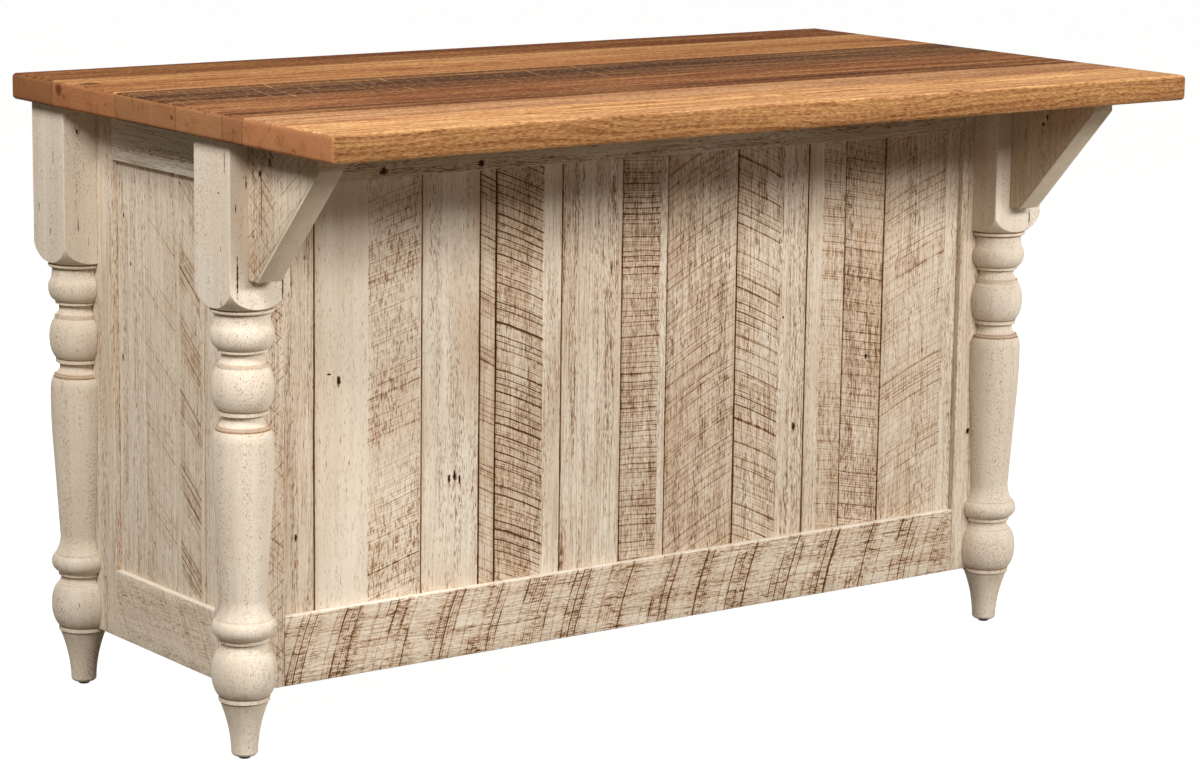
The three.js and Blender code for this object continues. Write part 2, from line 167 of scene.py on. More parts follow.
# Colours, as they look on screen
PAINT = (235, 224, 206)
LEG_PAINT = (232, 221, 204)
BRACKET_PAINT = (222, 210, 190)
TAN = (188, 155, 115)
RUBBED_GLAZE = (170, 134, 99)
GLAZE = (66, 36, 16)
# the next colour is a painted highlight along a board's upper edge
EDGE_HIGHLIGHT = (246, 236, 220)
KNOT_RIM = (140, 100, 66)
KNOT_CORE = (44, 25, 14)

# Stage and lamps
FLOOR_REACH = 14.0
FLOOR_COLOUR = (0.17, 0.15, 0.12, 1.0)
WORLD_COLOUR = (1.0, 0.76, 0.46, 1.0)
WORLD_STRENGTH = 0.072
WHITE = (1.0, 1.0, 1.0, 1.0)
FLOOR_WHITE = 0.98
MIDDLE = (0, 0, 0.5)
LAMPS = [  # name, place, what it points at, width, height and power
    ("key", (0.6, -2.9, 2.1), MIDDLE, 2.4, 0.7, 105),
    ("side", (-2.8, -1.2, 3.1), MIDDLE, 1.2, 1.2, 135),
    ("right", (3.2, -1.4, 0.5), MIDDLE, 1.0, 0.7, 14),
    ("back", (1.2, 3.4, 0.46), (0, 0, 0.46), 2.8, 0.8, 95),
    ("overhead", (0.3, 0.6, 3.4), MIDDLE, 2.6, 1.6, 30),
]


# ---- shader graphs
def srgb(red, green, blue):
    """A colour given as it looks on screen, from 0 to 255."""
    def linear(value):
        share = value / 255
        return share / 12.92 if share <= 0.04045 else ((share + 0.055) / 1.055) ** 2.4
    return (linear(red), linear(green), linear(blue), 1.0)


def operation(kind, swapped=False):
    """A method that puts a math node between a field and another one or a number."""
    def method(self, other=0.0):
        pair = (other, self) if swapped else (self, other)
        return self.graph.math(kind, *pair)
    return method


class Field:
    """A number, colour or vector that varies over a surface. Numbers can be used in sums."""

    def __init__(self, graph, socket):
        self.graph = graph
        self.socket = socket

    def smooth(self, low, high):
        """0 below low, 1 above high, and a soft step between."""
        inputs = {"Value": self, "From Min": low, "From Max": high}
        node = self.graph.add("ShaderNodeMapRange", inputs, interpolation_type="SMOOTHSTEP")
        return self.graph.out(node)

    __add__ = __radd__ = operation("ADD")
    __sub__ = operation("SUBTRACT")
    __rsub__ = operation("SUBTRACT", swapped=True)
    __mul__ = __rmul__ = operation("MULTIPLY")
    __truediv__ = operation("DIVIDE")
    __abs__ = operation("ABSOLUTE")
    at_most = operation("MINIMUM")
    at_least = operation("MAXIMUM")
    fract = operation("FRACT")
    floor = operation("FLOOR")
    root = operation("SQRT")


class Graph:
    """Adds nodes to a node tree."""

    def __init__(self, tree):
        self.tree = tree

    def add(self, kind, inputs=None, **settings):
        node = self.tree.nodes.new(kind)
        for name, value in settings.items():
            setattr(node, name, value)
        for key, value in (inputs or {}).items():
            if isinstance(value, Field):
                self.tree.links.new(value.socket, node.inputs[key])
            else:
                node.inputs[key].default_value = value
        return node

    def out(self, node, key=0):
        return Field(self, node.outputs[key])

    def math(self, kind, a, b):
        return self.out(self.add("ShaderNodeMath", {0: a, 1: b}, operation=kind))

    def separate(self, vector):
        node = self.add("ShaderNodeSeparateXYZ", {0: vector})
        return [self.out(node, i) for i in range(3)]

    def combine(self, x, y, z):
        return self.out(self.add("ShaderNodeCombineXYZ", {0: x, 1: y, 2: z}))

    def point(self):
        """The surface point's x, y and z."""
        return self.separate(self.out(self.add("ShaderNodeTexCoord"), "Object"))

    def noise(self, x, y, z, detail=1.0):
        inputs = {"Vector": self.combine(x, y, z), "Scale": 1.0, "Detail": detail}
        return self.out(self.add("ShaderNodeTexNoise", inputs))

    def mix(self, factor, a, b, blend_type="MIX"):
        """A colour from a to b. Each is a field or a colour as it looks on screen."""
        a, b = (value if isinstance(value, Field) else srgb(*value) for value in (a, b))
        inputs = {0: factor, 6: a, 7: b}
        return self.out(self.add("ShaderNodeMix", inputs, data_type="RGBA", blend_type=blend_type), 2)

    def darken(self, amount, colour, first, second):
        """A colour that turns to the first and then to the second as the amount goes to 1."""
        colour = self.mix((amount * 2.0).at_most(1.0), colour, first)
        return self.mix((amount * 2.0 - 1.0).at_least(0.0), colour, second)

    def scatter(self, value):
        """A random number from 0 to 1 for each whole number."""
        node = self.add("ShaderNodeTexWhiteNoise", {"W": value}, noise_dimensions="1D")
        return self.out(node, "Value")


def distance(*offsets):
    """How far a point is, from its offsets along two or three axes."""
    squares = offsets[0] * offsets[0]
    for offset in offsets[1:]:
        squares = squares + offset * offset
    return squares.root()


def new_group(name, outputs, **inputs):
    """A node group. Its graph and its inputs by name."""
    kinds = {float: "NodeSocketFloat", tuple: "NodeSocketColor", Vector: "NodeSocketVector"}
    tree = bpy.data.node_groups.new(name, "ShaderNodeTree")
    for label, value in inputs.items():
        socket = tree.interface.new_socket(label, in_out="INPUT", socket_type=kinds[type(value)])
        socket.default_value = value
    for label, kind in outputs.items():
        tree.interface.new_socket(label, in_out="OUTPUT", socket_type=kind)
    graph = Graph(tree)
    source = graph.add("NodeGroupInput")
    return graph, SimpleNamespace(**{label: graph.out(source, label) for label in inputs})


def saw_group():
    """Marks of a circular saw: arcs across the grain, unevenly spaced and deep."""
    graph, given = new_group(
        "saw marks", {"Mark": "NodeSocketFloat"}, across=0.0, along=0.0, seed=0.0, spacing=0.01,
        slope=0.0, bow=0.0, thickness=0.0012,
    )
    across, along, seed = given.across, given.along, given.seed
    drift = graph.noise(across * 22.0, along * 14.0, seed)
    lean = given.slope * across + given.bow * across * across
    count = (along + lean + (drift - 0.5) * 0.004) / given.spacing + seed * 7.3
    uneven = graph.noise(count * 0.45, seed, 0.0, 0.0)
    count = count + (uneven - 0.5) * 1.8
    middle = abs(count.fract() - 0.5) * given.spacing
    depth = graph.scatter(count.floor())
    half = given.thickness * (0.40 + depth * 0.35)
    line = 1.0 - (middle / half).smooth(0.45, 1.35)
    mark = line * (0.30 + 0.70 * depth.smooth(0.05, 0.60))
    graph.add("NodeGroupOutput", {"Mark": mark})
    return graph.tree


def use_saw(graph, saw, **given):
    return graph.out(graph.add("ShaderNodeGroup", given, node_tree=saw), "Mark")


def painted_group(saw):
    """Cream paint over rough-sawn or planed wood, rubbed with brown glaze, with painted shade beside its
    joints and in the legs' quirks, and a painted highlight along an upper edge.
    """
    graph, given = new_group(
        "painted wood",
        {"Color": "NodeSocketColor", "Dark": "NodeSocketFloat", "Height": "NodeSocketFloat"},
        place=Vector((0, 0, 0)), seed=0.0, width=0.1,
        paint=srgb(*PAINT), tan=srgb(*TAN), rub=srgb(*RUBBED_GLAZE), glaze=srgb(*GLAZE),
        pores=0.6, shortness=90.0, fineness=1.0, fibre=0.22, streaks=0.3, cracks=0.0,
        saw=0.0, strong=1.0, spacing=0.01, slope=0.0, bow=0.0, thickness=0.0013, start=-1.0, stop=1.0,
        cross=0.0, lattice=0.7, cluster=0.3, period=0.06, tint=0.0, stain=0.3,
        low_joint=0.0, high_joint=0.0, worn_edge=0.0, cavity=0.0,
    )
    noise_at = graph.noise
    seed = given.seed
    across, depth, along = graph.separate(given.place)
    shift = seed * 3.7
    waver = noise_at(across * 24.0 + shift, depth * 24.0, along * 5.0)
    grain = (across + (waver - 0.5) * 0.010) * given.fineness
    deep = (depth + (waver - 0.5) * 0.006) * given.fineness

    # Grain: pores, streaks, fibre and cracks
    band = noise_at(grain * 60.0, deep * 60.0 + shift, along * 2.6, 2.0).smooth(0.42, 0.60)
    pore_field = noise_at(grain * 1300.0 + shift, deep * 1300.0, along * given.shortness)
    pore_level = 0.67 - given.pores * (0.08 + band * 0.09)
    pores = pore_field.smooth(pore_level, pore_level + 0.06)
    breaks = noise_at(across * 330.0, deep * 330.0 + shift, along * 90.0)
    streaks = noise_at(grain * 210.0, deep * 210.0 + shift, along * 6.0)
    streaks = 1.0 - abs(streaks - 0.5).smooth(0.015, 0.06)
    streaks = streaks * breaks.smooth(0.34, 0.54) * (0.4 + 0.6 * band) * given.streaks
    fibre = noise_at(grain * 520.0, deep * 520.0 + shift, along * 8.0, 2.0)
    fibre = fibre.smooth(0.47, 0.66) * given.fibre
    cracks = noise_at(grain * 330.0 + shift, deep * 330.0, along * 26.0)
    cracks = cracks.smooth(0.76, 0.80) * given.cracks

    # Saw marks: where they are, the marks of three kinds, and how they come and go
    ragged = noise_at(across * 300.0, along * 60.0, shift, 0.0) * 0.004
    region = (across + ragged).smooth(given.start, given.start + 0.002)
    region = region * (1.0 - (across + ragged).smooth(given.stop, given.stop + 0.002))
    rough = region * given.saw
    patch = noise_at(across * 14.0 + shift, depth * 9.0, along * 7.0, 2.0).smooth(0.36, 0.58)
    middle = across - given.width * 0.5
    common = {"across": middle, "along": along, "bow": given.bow}
    strong = use_saw(
        graph, saw, seed=seed, spacing=given.spacing, slope=given.slope, thickness=given.thickness,
        **common,
    )
    fine = use_saw(
        graph, saw, seed=seed + 5.0, spacing=given.spacing * 0.26, slope=given.slope,
        thickness=0.0010, **common,
    )
    crossing = use_saw(
        graph, saw, seed=seed + 9.0, spacing=given.spacing * 0.8, slope=given.slope * -1.0,
        thickness=0.0011, **common,
    )
    kept = noise_at(across * 130.0, shift, along * 130.0).smooth(0.36, 0.56)
    dashes = noise_at(across * 250.0 + shift, depth * 250.0, along * 34.0)
    dashes = 1.0 - abs(dashes - 0.5).smooth(0.02, 0.08)
    lattice = dashes * breaks.smooth(0.40, 0.56) * (0.55 + 0.45 * patch) * given.lattice
    lean = along + given.slope * middle + given.bow * middle * middle
    wave = ((lean + (patch * 0.5 + seed) * 0.04) / given.period).fract()
    cluster = 1.0 - given.cluster * abs(wave - 0.5).smooth(0.14, 0.34)
    sawn = strong * (0.75 + 0.25 * kept) * (0.65 + 0.35 * patch) * given.strong
    sawn = sawn + fine * (0.15 + 0.85 * kept) * (0.5 + 0.5 * patch) * 0.60 + lattice * 0.66
    sawn = sawn * rough * cluster + crossing * kept * given.cross

    # Dark joints beside the board with painted shade next to them, and a painted highlight along its upper
    # edge
    edge = (waver - 0.5) * 0.0026
    far = given.width - across
    joints = []
    shades = []
    for place, amount in ((across, given.low_joint), (far, given.high_joint)):
        joints.append((1.0 - (place + edge).smooth(0.0004, 0.0004 + 0.0014 * amount)) * amount)
        shades.append((1.0 - place.smooth(0.0, 0.014)) * amount)
    joint = joints[0] + joints[1]
    shade = shades[0] + shades[1]
    worn_edge = (1.0 - (far + edge).smooth(0.0010, 0.0032)) * given.worn_edge

    # Colour: stained paint with painted shade beside the joints and a painted highlight along the upper edge,
    # then everything dark in it
    tone = noise_at(grain * 60.0 + shift, deep * 60.0, along * 2.0, 3.0)
    stain = noise_at(across * 11.0, shift, along * 3.4, 3.0)
    stain = stain.smooth(0.38, 0.68) * given.stain + given.tint
    # painted shade beside the joints is added to the stain here
    stain = stain + rough * cluster * (0.06 + patch * 0.16) + shade * 0.24
    paint = graph.mix(tone.smooth(0.25, 0.80) * 0.24, given.paint, given.tan)
    paint = graph.mix(stain.at_most(0.88), paint, given.tan)
    # painted highlight along the upper edge, which also hides the dark marks under it
    paint = graph.mix(worn_edge * 0.8, paint, EDGE_HIGHLIGHT)
    dark = pores * (0.36 + 0.24 * band) + streaks * 0.75 + fibre + sawn * 0.95 + joint * 0.84 + cracks
    dark = dark * (1.0 - worn_edge * 0.8)
    # darker in the legs' quirks by their cavity attribute: brown glaze there, and painted shade
    dark = (dark + given.cavity * 0.6).at_most(0.94)
    colour = graph.darken(dark, paint, given.rub, given.glaze)
    height = (pores * -0.12 + streaks * -0.12 + sawn * -0.35 + tone * 0.10 - joint * 0.3) * MM
    graph.add("NodeGroupOutput", {"Color": colour, "Dark": dark, "Height": height})
    return graph.tree


SAW = saw_group()
PAINTED = painted_group(SAW)


# ---- materials
def new_material(name):
    material = bpy.data.materials.new(name)
    material.use_nodes = True
    material.node_tree.nodes.clear()
    return material, Graph(material.node_tree)


def finish_material(graph, colour, roughness, height, **sockets):
    """The surface shader, with the relief given as a height in metres."""
    bump = graph.add("ShaderNodeBump", {"Strength": 1.0, "Distance": 1.0, "Height": height})
    shader = graph.add(
        "ShaderNodeBsdfPrincipled",
        {"Base Color": colour, "Roughness": roughness, "Normal": graph.out(bump)},
    )
    for name, value in sockets.items():
        shader.inputs[name.replace("_", " ")].default_value = value
    graph.add("ShaderNodeOutputMaterial", {"Surface": graph.out(shader)})


def grain_place(graph, origin, axes):
    """The surface point measured from origin, as (across, depth, along) the grain."""
    point = graph.point()
    order = ["xyz".index(axis) for axis in axes]
    return graph.combine(*[point[i] - origin[i] for i in order])


def painted(name, origin=(0, 0, 0), axes="xyz", knots=(), cavity=False, **looks):
    """Painted wood. Knots are given as in knot_mask."""
    material, graph = new_material(name)
    place = grain_place(graph, origin, axes)
    node = graph.add("ShaderNodeGroup", {"place": place}, node_tree=PAINTED)
    for key, value in looks.items():
        node.inputs[key].default_value = value
    if cavity:
        attribute = graph.add("ShaderNodeAttribute", attribute_name="cavity")
        graph.tree.links.new(attribute.outputs["Fac"], node.inputs["cavity"])
    colour, dark, height = (graph.out(node, key) for key in ("Color", "Dark", "Height"))
    for spot in knots:
        mask = knot_mask(graph, place, *spot)
        colour = graph.darken(mask, colour, KNOT_RIM, KNOT_CORE)
        height = height - mask * 0.6 * MM
    finish_material(graph, colour, 0.55 + dark * 0.25, height, Specular_IOR_Level=0.05)
    return material


def knot_mask(graph, place, across, along, radius, stretch=1.5, depth=None):
    """1 inside a ragged spot, in millimetres from the origin. With a depth it is only there."""
    side, inwards, run = graph.separate(place)
    ragged = graph.noise(side * 260.0, inwards * 260.0, run * 160.0, 2.0)
    offsets = [(side - across * MM) / (radius * MM), (run - along * MM) / (radius * stretch * MM)]
    if depth is not None:
        offsets.append((inwards - depth * MM) / (radius * MM))
    return 1.0 - (distance(*offsets) + (ragged - 0.5) * 1.6).smooth(0.45, 1.0)


def stripe_ramp(graph, place, reach, stripes):
    """Colours across a board, from stripes of (millimetres from its front, colour)."""
    ramp = graph.add("ShaderNodeValToRGB", {0: place / reach})
    marks = ramp.color_ramp.elements
    for _ in stripes[2:]:
        marks.new(0.5)
    for mark, (start, colour) in zip(marks, stripes):
        mark.position = start * MM / reach
        mark.color = srgb(*colour)
    return graph.out(ramp)


def end_grain(graph, board, y, z, height, ring, grit):
    """Colour of a board's sawn end: rings, mottling, a few cracks, spots and a dark upper rim."""
    mix, seed = graph.mix, board["seed"]
    mottle = graph.noise(y * 30.0 + seed, z * 45.0, seed, 3.0)
    colour = mix(ring.smooth(0.2, 0.9) * 0.13, board["end"], (110, 60, 34))
    colour = mix(mottle.smooth(0.45, 0.75) * 0.30, colour, (132, 78, 46))
    colour = mix(grit.smooth(0.45, 0.75) * 0.35, colour, (104, 62, 36))
    crack = abs(graph.noise(y * 38.0, z * 16.0, seed + 4.0) - 0.5)
    crack = (1.0 - crack.smooth(0.004, 0.012)) * mottle.smooth(0.45, 0.60)
    colour = mix(crack * 0.55, colour, (92, 50, 30))
    for across, level, radius, tone in board.get("end_spots", ()):
        far = distance((y - across * MM) / (radius * MM), (z - level * MM) / (radius * MM))
        far = far + (mottle - 0.5) * 2.5 + (grit - 0.5) * 1.2
        colour = mix((1.0 - far.smooth(0.2, 1.0)) * 0.8, colour, tone)
    rim = (z + (grit - 0.5) * 0.003).smooth(height - 0.0026, height - 0.0010)
    return mix(rim * 0.5, colour, (96, 54, 32))


def varnished_board(name, low, high, board):
    """A board of the worktop, with its grain along X and a satin varnish."""
    stripes, seed, pith = board["stripes"], board["seed"], board["pith"]
    material, graph = new_material(name)
    noise_at, mix = graph.noise, graph.mix
    x, y, z = graph.point()
    y = y - low.y
    z = z - low.z
    wander = noise_at(x * 1.7 + seed, y * 9.0, z * 9.0, 2.0)
    flame = noise_at(x * 5.0, y * 26.0 + seed, z * 26.0, 2.0)
    reach = stripes[-1][0] * MM
    face = graph.separate(graph.out(graph.add("ShaderNodeNewGeometry"), "Normal"))
    front = (face[1] * -1.0).smooth(0.55, 0.90)
    end = abs(face[0]).smooth(0.55, 0.85)
    stripe = stripe_ramp(graph, y + (wander - 0.5) * 0.030, reach, stripes)
    colour = mix(front, stripe, board["edge"])

    # Growth rings round the pith, fibre, clouds, flecks and pores
    calm = 1.0 - front * 0.65
    round_pith = distance(y - pith[0] * MM, z - pith[1] * MM)
    round_pith = round_pith + (wander - 0.5) * 0.05 + flame * 0.010
    ring = (round_pith / 0.0050 + noise_at(round_pith * 90.0, seed, 0.0) * 2.0).fract()
    late = ring.smooth(0.45, 0.95)
    fibre = noise_at(x * 12.0, y * 330.0 + seed, z * 330.0, 3.0)
    broad = noise_at(x * 2.2 + seed, y * 60.0, z * 60.0, 3.0)
    fleck = noise_at(x * 130.0, y * 170.0 + seed, z * 600.0, 2.0)
    pores = noise_at(x * 90.0, y * 300.0 + seed, z * 700.0).smooth(0.58, 0.66) * (0.30 + 0.70 * late)
    colour = mix(late * 0.42, colour, (170, 112, 66), "MULTIPLY")
    colour = mix(fibre.smooth(0.38, 0.66) * 0.50 * calm, colour, (176, 126, 84), "MULTIPLY")
    colour = mix(broad.smooth(0.45, 0.72) * 0.40 * calm, colour, (150, 96, 60), "MULTIPLY")
    colour = mix(0.20 - broad.smooth(0.28, 0.55) * 0.20, colour, (220, 160, 96), "SCREEN")
    colour = mix(fleck.smooth(0.48, 0.66) * 0.42, colour, (150, 98, 60), "MULTIPLY")
    colour = mix(0.16 - fleck.smooth(0.30, 0.46) * 0.16, colour, (240, 190, 126), "SCREEN")
    colour = mix(pores * 0.60, colour, (78, 44, 24))

    grit = noise_at(x * 600.0, y * 600.0, z * 600.0 + seed)
    colour = mix(end, colour, end_grain(graph, board, y, z, high.z - low.z, ring, grit))
    seam = 1.0 - y.at_most(reach - y).smooth(0.0003, 0.0014)
    seam = seam * y.smooth(0.0, 0.0001) * (1.0 - front)
    colour = mix(seam * (0.25 + 0.30 * end), colour, (70, 38, 22))
    if board.get("scratches"):
        cuts = use_saw(
            graph, SAW, across=y - reach * 0.5, along=x, seed=seed, spacing=0.030, slope=-0.27,
            bow=-0.6, thickness=0.0020,
        )
        cuts = cuts * noise_at(x * 60.0, y * 30.0, seed, 2.0).smooth(0.42, 0.58)
        cuts = cuts * (1.0 - x.smooth(-0.1, 0.25) * 0.8)
        colour = mix(cuts * 0.55, colour, (196, 156, 118))
    for across, along, size in board.get("knots", ()):
        far = distance((y - across * MM) / (size * 0.6 * MM), (x - along * MM) / (size * MM))
        far = far + (flame - 0.5) * 1.5
        colour = mix((1.0 - far.smooth(0.3, 1.0)) * 0.85, colour, (62, 34, 22))
    height = (pores * -0.05 + fibre * 0.04) * MM
    shine = 0.70 + broad.smooth(0.3, 0.7) * 0.08 + end * 0.10
    finish_material(graph, colour, shine, height, Specular_IOR_Level=0.02)
    return material


def bare_wood(name, axes, seed):
    """Plain wood under clear lacquer, with its grain along the last axis."""
    material, graph = new_material(name)
    across, depth, along = graph.separate(grain_place(graph, (seed, seed, seed), axes))
    wander = graph.noise(across * 8.0, depth * 8.0, along * 1.5, 2.0)
    rings = ((across + depth * 0.6 + (wander - 0.5) * 0.09) / 0.011).fract()
    late = rings.smooth(0.35, 0.95)
    fibre = graph.noise(across * 500.0, depth * 500.0, along * 12.0, 2.0)
    colour = graph.mix(late * 0.5, (214, 184, 140), (184, 146, 100))
    colour = graph.mix(fibre.smooth(0.35, 0.75) * 0.35, colour, (164, 126, 84))
    finish_material(graph, colour, 0.6 + late * 0.1, fibre * 0.05 * MM, Specular_IOR_Level=0.3)
    return material


def dark_bronze(name):
    """Dark metal of the knobs and hinges, rubbed bright in places."""
    material, graph = new_material(name)
    x, y, z = graph.point()
    cloud = graph.noise(x * 120.0, y * 120.0, z * 120.0, 3.0)
    grain = graph.noise(x * 900.0, y * 900.0, z * 900.0, 2.0)
    rubbed = cloud.smooth(0.52, 0.72)
    colour = graph.mix(rubbed * 0.5, (46, 39, 33), (98, 84, 70))
    roughness = 0.48 - rubbed * 0.14 + grain * 0.08
    finish_material(graph, colour, roughness, (cloud * 0.15 + grain * 0.03) * MM, Metallic=0.85)
    return material


def worn_plastic(name):
    """Dark brown plastic of the glides, scuffed grey."""
    material, graph = new_material(name)
    x, y, z = graph.point()
    scuff = graph.noise(x * 400.0, y * 400.0, z * 150.0, 3.0)
    colour = graph.mix(scuff.smooth(0.5, 0.75) * 0.4, (44, 34, 28), (96, 84, 74))
    finish_material(graph, colour, 0.5 + scuff * 0.3, scuff * 0.04 * MM)
    return material


PLASTIC = worn_plastic("glide plastic")
BRONZE = dark_bronze("aged iron")
LONG_WOOD = bare_wood("bare wood along the length", "yzx", 0.31)
DEEP_WOOD = bare_wood("bare wood along the depth", "xzy", 0.57)
UPRIGHT_WOOD = bare_wood("bare wood upright", "yxz", 0.83)


# ---- meshes
def new_object(name, data):
    piece = bpy.data.objects.new(name, data)
    bpy.context.scene.collection.objects.link(piece)
    return piece


def add_object(name, points, faces, material, smooth=True):
    mesh = bpy.data.meshes.new(name)
    mesh.from_pydata([tuple(point) for point in points], [], faces)
    mesh.validate()
    mesh.materials.append(material)
    if smooth:
        mesh.shade_smooth()
        mesh.set_sharp_from_angle(angle=SHARP_ANGLE)
    return new_object(name, mesh)


def dress(piece, body, slot, node):
    """Puts a piece on its body, in place of its solid, which it hides. The slot is not used."""
    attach(piece, body)
    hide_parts(node)


def grid_places(low, high, ease):
    """Places of grid lines from low to high, close together in the eased edges."""
    turns = [1 - math.tan(math.radians(angle)) for angle in EASE_TURNS]
    count = max(1, round((high - low - 2 * ease) / (GRID_STEP * MM)))
    inner = np.linspace(low + ease, high - ease, count + 1)[1:-1]
    return [low + ease * t for t in turns] + list(inner) + [high - ease * t for t in turns[::-1]]


def skin_of_grid(lines):
    """Points and quads of a box's surface, on a grid with these places along each axis."""
    numbers = {}
    points = []
    faces = []
    last = [len(places) - 1 for places in lines]

    def number(corner):
        if corner not in numbers:
            numbers[corner] = len(points)
            points.append([lines[axis][corner[axis]] for axis in range(3)])
        return numbers[corner]

    for axis in range(3):
        first, second = (axis + 1) % 3, (axis + 2) % 3
        for end in (0, last[axis]):
            for i in range(last[first]):
                for j in range(last[second]):
                    quad = []
                    for di, dj in ((0, 0), (1, 0), (1, 1), (0, 1)):
                        corner = [0, 0, 0]
                        corner[axis], corner[first], corner[second] = end, i + di, j + dj
                        quad.append(number(tuple(corner)))
                    faces.append(quad if end else quad[::-1])
    return np.array(points), faces


def pushed_out(points, core_low, core_high):
    """Each point's nearest one in an inner box, and the direction from there to it."""
    core = np.clip(points, core_low, core_high)
    out = points - core
    length = np.linalg.norm(out, axis=1, keepdims=True)
    return core, out / np.maximum(length, 1e-9)


def eased_box(low, high, ease, worn=0.0, seed=0.0):
    """A box with round edges, from corner to corner. Worn is how far its faces waver, inwards."""
    low, high = np.array(low, float), np.array(high, float)
    points, faces = skin_of_grid([grid_places(low[i], high[i], ease) for i in range(3)])
    core, out = pushed_out(points, low + ease, high - ease)
    points = core + out * ease
    if worn:
        for i, point in enumerate(points):
            wave = noise.noise(Vector(point) * WAVE_SCALE + Vector((seed, seed * 2, 0)))
            nick = noise.noise(Vector(point) * NICK_SCALE + Vector((0, seed, seed * 3)))
            edge = np.count_nonzero(np.abs(out[i]) > 0.2) > 1
            dent = max(0.0, nick) * EDGE_NICK if edge else 0.0
            points[i] -= out[i] * worn * (0.5 + wave * 0.5 + dent)
    return points, faces


def part(box, **spans):
    """The corners of a box, cut down to these spans along x, y or z."""
    low, high = Vector(box[0]), Vector(box[1])
    for axis, (start, stop) in spans.items():
        setattr(low, axis, start)
        setattr(high, axis, stop)
    return low, high


def both_sides(box, axis, width):
    """The strips of a box along its low and its high side."""
    start, stop = (getattr(corner, axis) for corner in box)
    return part(box, **{axis: (start, start + width)}), part(box, **{axis: (stop - width, stop)})


def side_by_side(box, axis, widths):
    """The boards that fill a box side by side. Widths are shares of its whole width."""
    low, high = (getattr(corner, axis) for corner in box)
    edge = low
    for width in widths:
        start = edge + PLANK_GAP / 2 * MM
        edge += (high - low) * width / sum(widths)
        yield part(box, **{axis: (start, edge - PLANK_GAP / 2 * MM)})


def add_board(name, node, material, body, slot, box=None, ease=BOARD_EASE, worn=BOARD_WEAR, seed=0.0):
    """A board with worn round edges, in its node's whole box or a part of it."""
    low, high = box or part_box(node)
    points, faces = eased_box(low, high, ease * MM, worn * MM, seed)
    piece = add_object(name, points, faces, material)
    dress(piece, body, slot, node)
    return piece


def add_painted(name, node, axes, seed, box=None, body="island", slot="plank_paint", room=None, **looks):
    """A painted board with its grain along the last axis, less the room of what lies behind it."""
    low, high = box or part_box(node)
    across = "xyz".index(axes[0])
    material = painted(name, low, axes, seed=seed, width=high[across] - low[across], **looks)
    piece = add_board(name, node, material, body, slot, box, seed=seed)
    if room:
        cut_with_box(piece, *room)


def room_for(low, high, axis, past):
    """The room that a panel takes in its frame, cut open past one of its faces."""
    gap = Vector((FIT, FIT, FIT)) * MM
    room = low - gap, high + gap
    room[1 if past > 0 else 0][axis] += past * MM
    return room


def bezier(t, points):
    """The point at t on a cubic curve, from its start, its two pulls and its end."""
    weights = ((1 - t) ** 3, 3 * t * (1 - t) ** 2, 3 * t * t * (1 - t), t ** 3)
    return tuple(sum(w * point[i] for w, point in zip(weights, points)) for i in range(2))


def profile_stretch(cut, length, depths, top, bottom):
    """Radius and height down one stretch of turning, in millimetres."""
    start, middle, end = (LEG_WIDTH / 2 - depth for depth in depths)
    pull = (8 * middle - start - end) / 6
    if cut == "bead":
        inset = (top - bottom) * BEAD_INSET
        pulls = [(pull, top - inset), (pull, bottom + inset)]
    else:
        third = (top - bottom) / 3
        pull = 2 * middle - (start + end) / 2
        pulls = [((start + 2 * pull) / 3, top - third), ((end + 2 * pull) / 3, bottom + third)]
    steps = 1 if cut == "straight" else max(TURNING_STEPS, round(length / TURNING_STEP))
    curve = [(start, top), *pulls, (end, bottom)]
    return [bezier(i / steps, curve) for i in range(steps + 1)]


def turned_rows(foot):
    """Radius and height of the turning, from the block's foot down."""
    height = foot
    rows = [(LEG_WIDTH / 2 - SHOULDER_DEPTH, foot)]
    stretch = (foot - GLIDE_HEIGHT) / sum(length for cut, length, depths in TURNING)
    for cut, length, depths in TURNING:
        below = height - length * stretch
        for row in profile_stretch(cut, length, depths, height, below):
            if math.dist(row, rows[-1]) > LEAST_STEP:
                rows.append(row)
        height = below
    return rows


def block_rows(top, angle):
    """Radius and height of the block and its shoulder in one direction, from the top down."""
    foot = top - BLOCK_HEIGHT
    corner = LEG_WIDTH / 2 * math.sqrt(2)
    pulls = [(corner - inwards, foot + rise) for inwards, rise in SHOULDER_PULLS]
    end = (LEG_WIDTH / 2 - SHOULDER_DEPTH, foot)
    curve = [(corner, foot + SHOULDER_DROP), *pulls, end]
    reach = block_radius(angle)
    shares = np.linspace(0, 1, SHOULDER_TRIES)
    leave = next(t for t in shares if bezier(t, curve)[0] <= reach)
    rows = [(reach, height) for height in np.linspace(top, bezier(leave, curve)[1], BLOCK_ROWS)]
    return rows + [bezier(t, curve) for t in np.linspace(leave, 1, SHOULDER_ROWS)[1:-1]]


def block_radius(angle):
    """How far the square block reaches in a direction, with its corners rounded."""
    half, edge = LEG_WIDTH / 2, BLOCK_EDGE
    side = abs(math.cos(angle)), abs(math.sin(angle))
    low, high = min(side), max(side)
    if half * low / high <= half - edge:
        return half / high
    reach = (half - edge) * (low + high)
    return reach + math.sqrt(reach ** 2 - 2 * (half - edge) ** 2 + edge ** 2)


def leg_angles():
    """Directions round the leg, with more of them at the block's corners."""
    turns = [*range(0, 90, LEG_TURN), *(45 + turn for turn in CORNER_TURNS)]
    quarter = sorted(math.radians(turn) for turn in turns)
    return [angle + math.radians(90 * turn) for turn in range(4) for angle in quarter]


def hollow_depth(rows):
    """How deep each turned row lies in a quirk between its neighbours, from 0 to 1."""
    depths = []
    for radius, height in rows:
        above = max(r for r, h in rows if 0 <= h - height <= QUIRK_REACH)
        below = max(r for r, h in rows if 0 <= height - h <= QUIRK_REACH)
        depth = (min(above, below) - radius - QUIRK_LEAST) / QUIRK_DEPTH
        depths.append(min(1.0, max(0.0, depth)))
    return depths


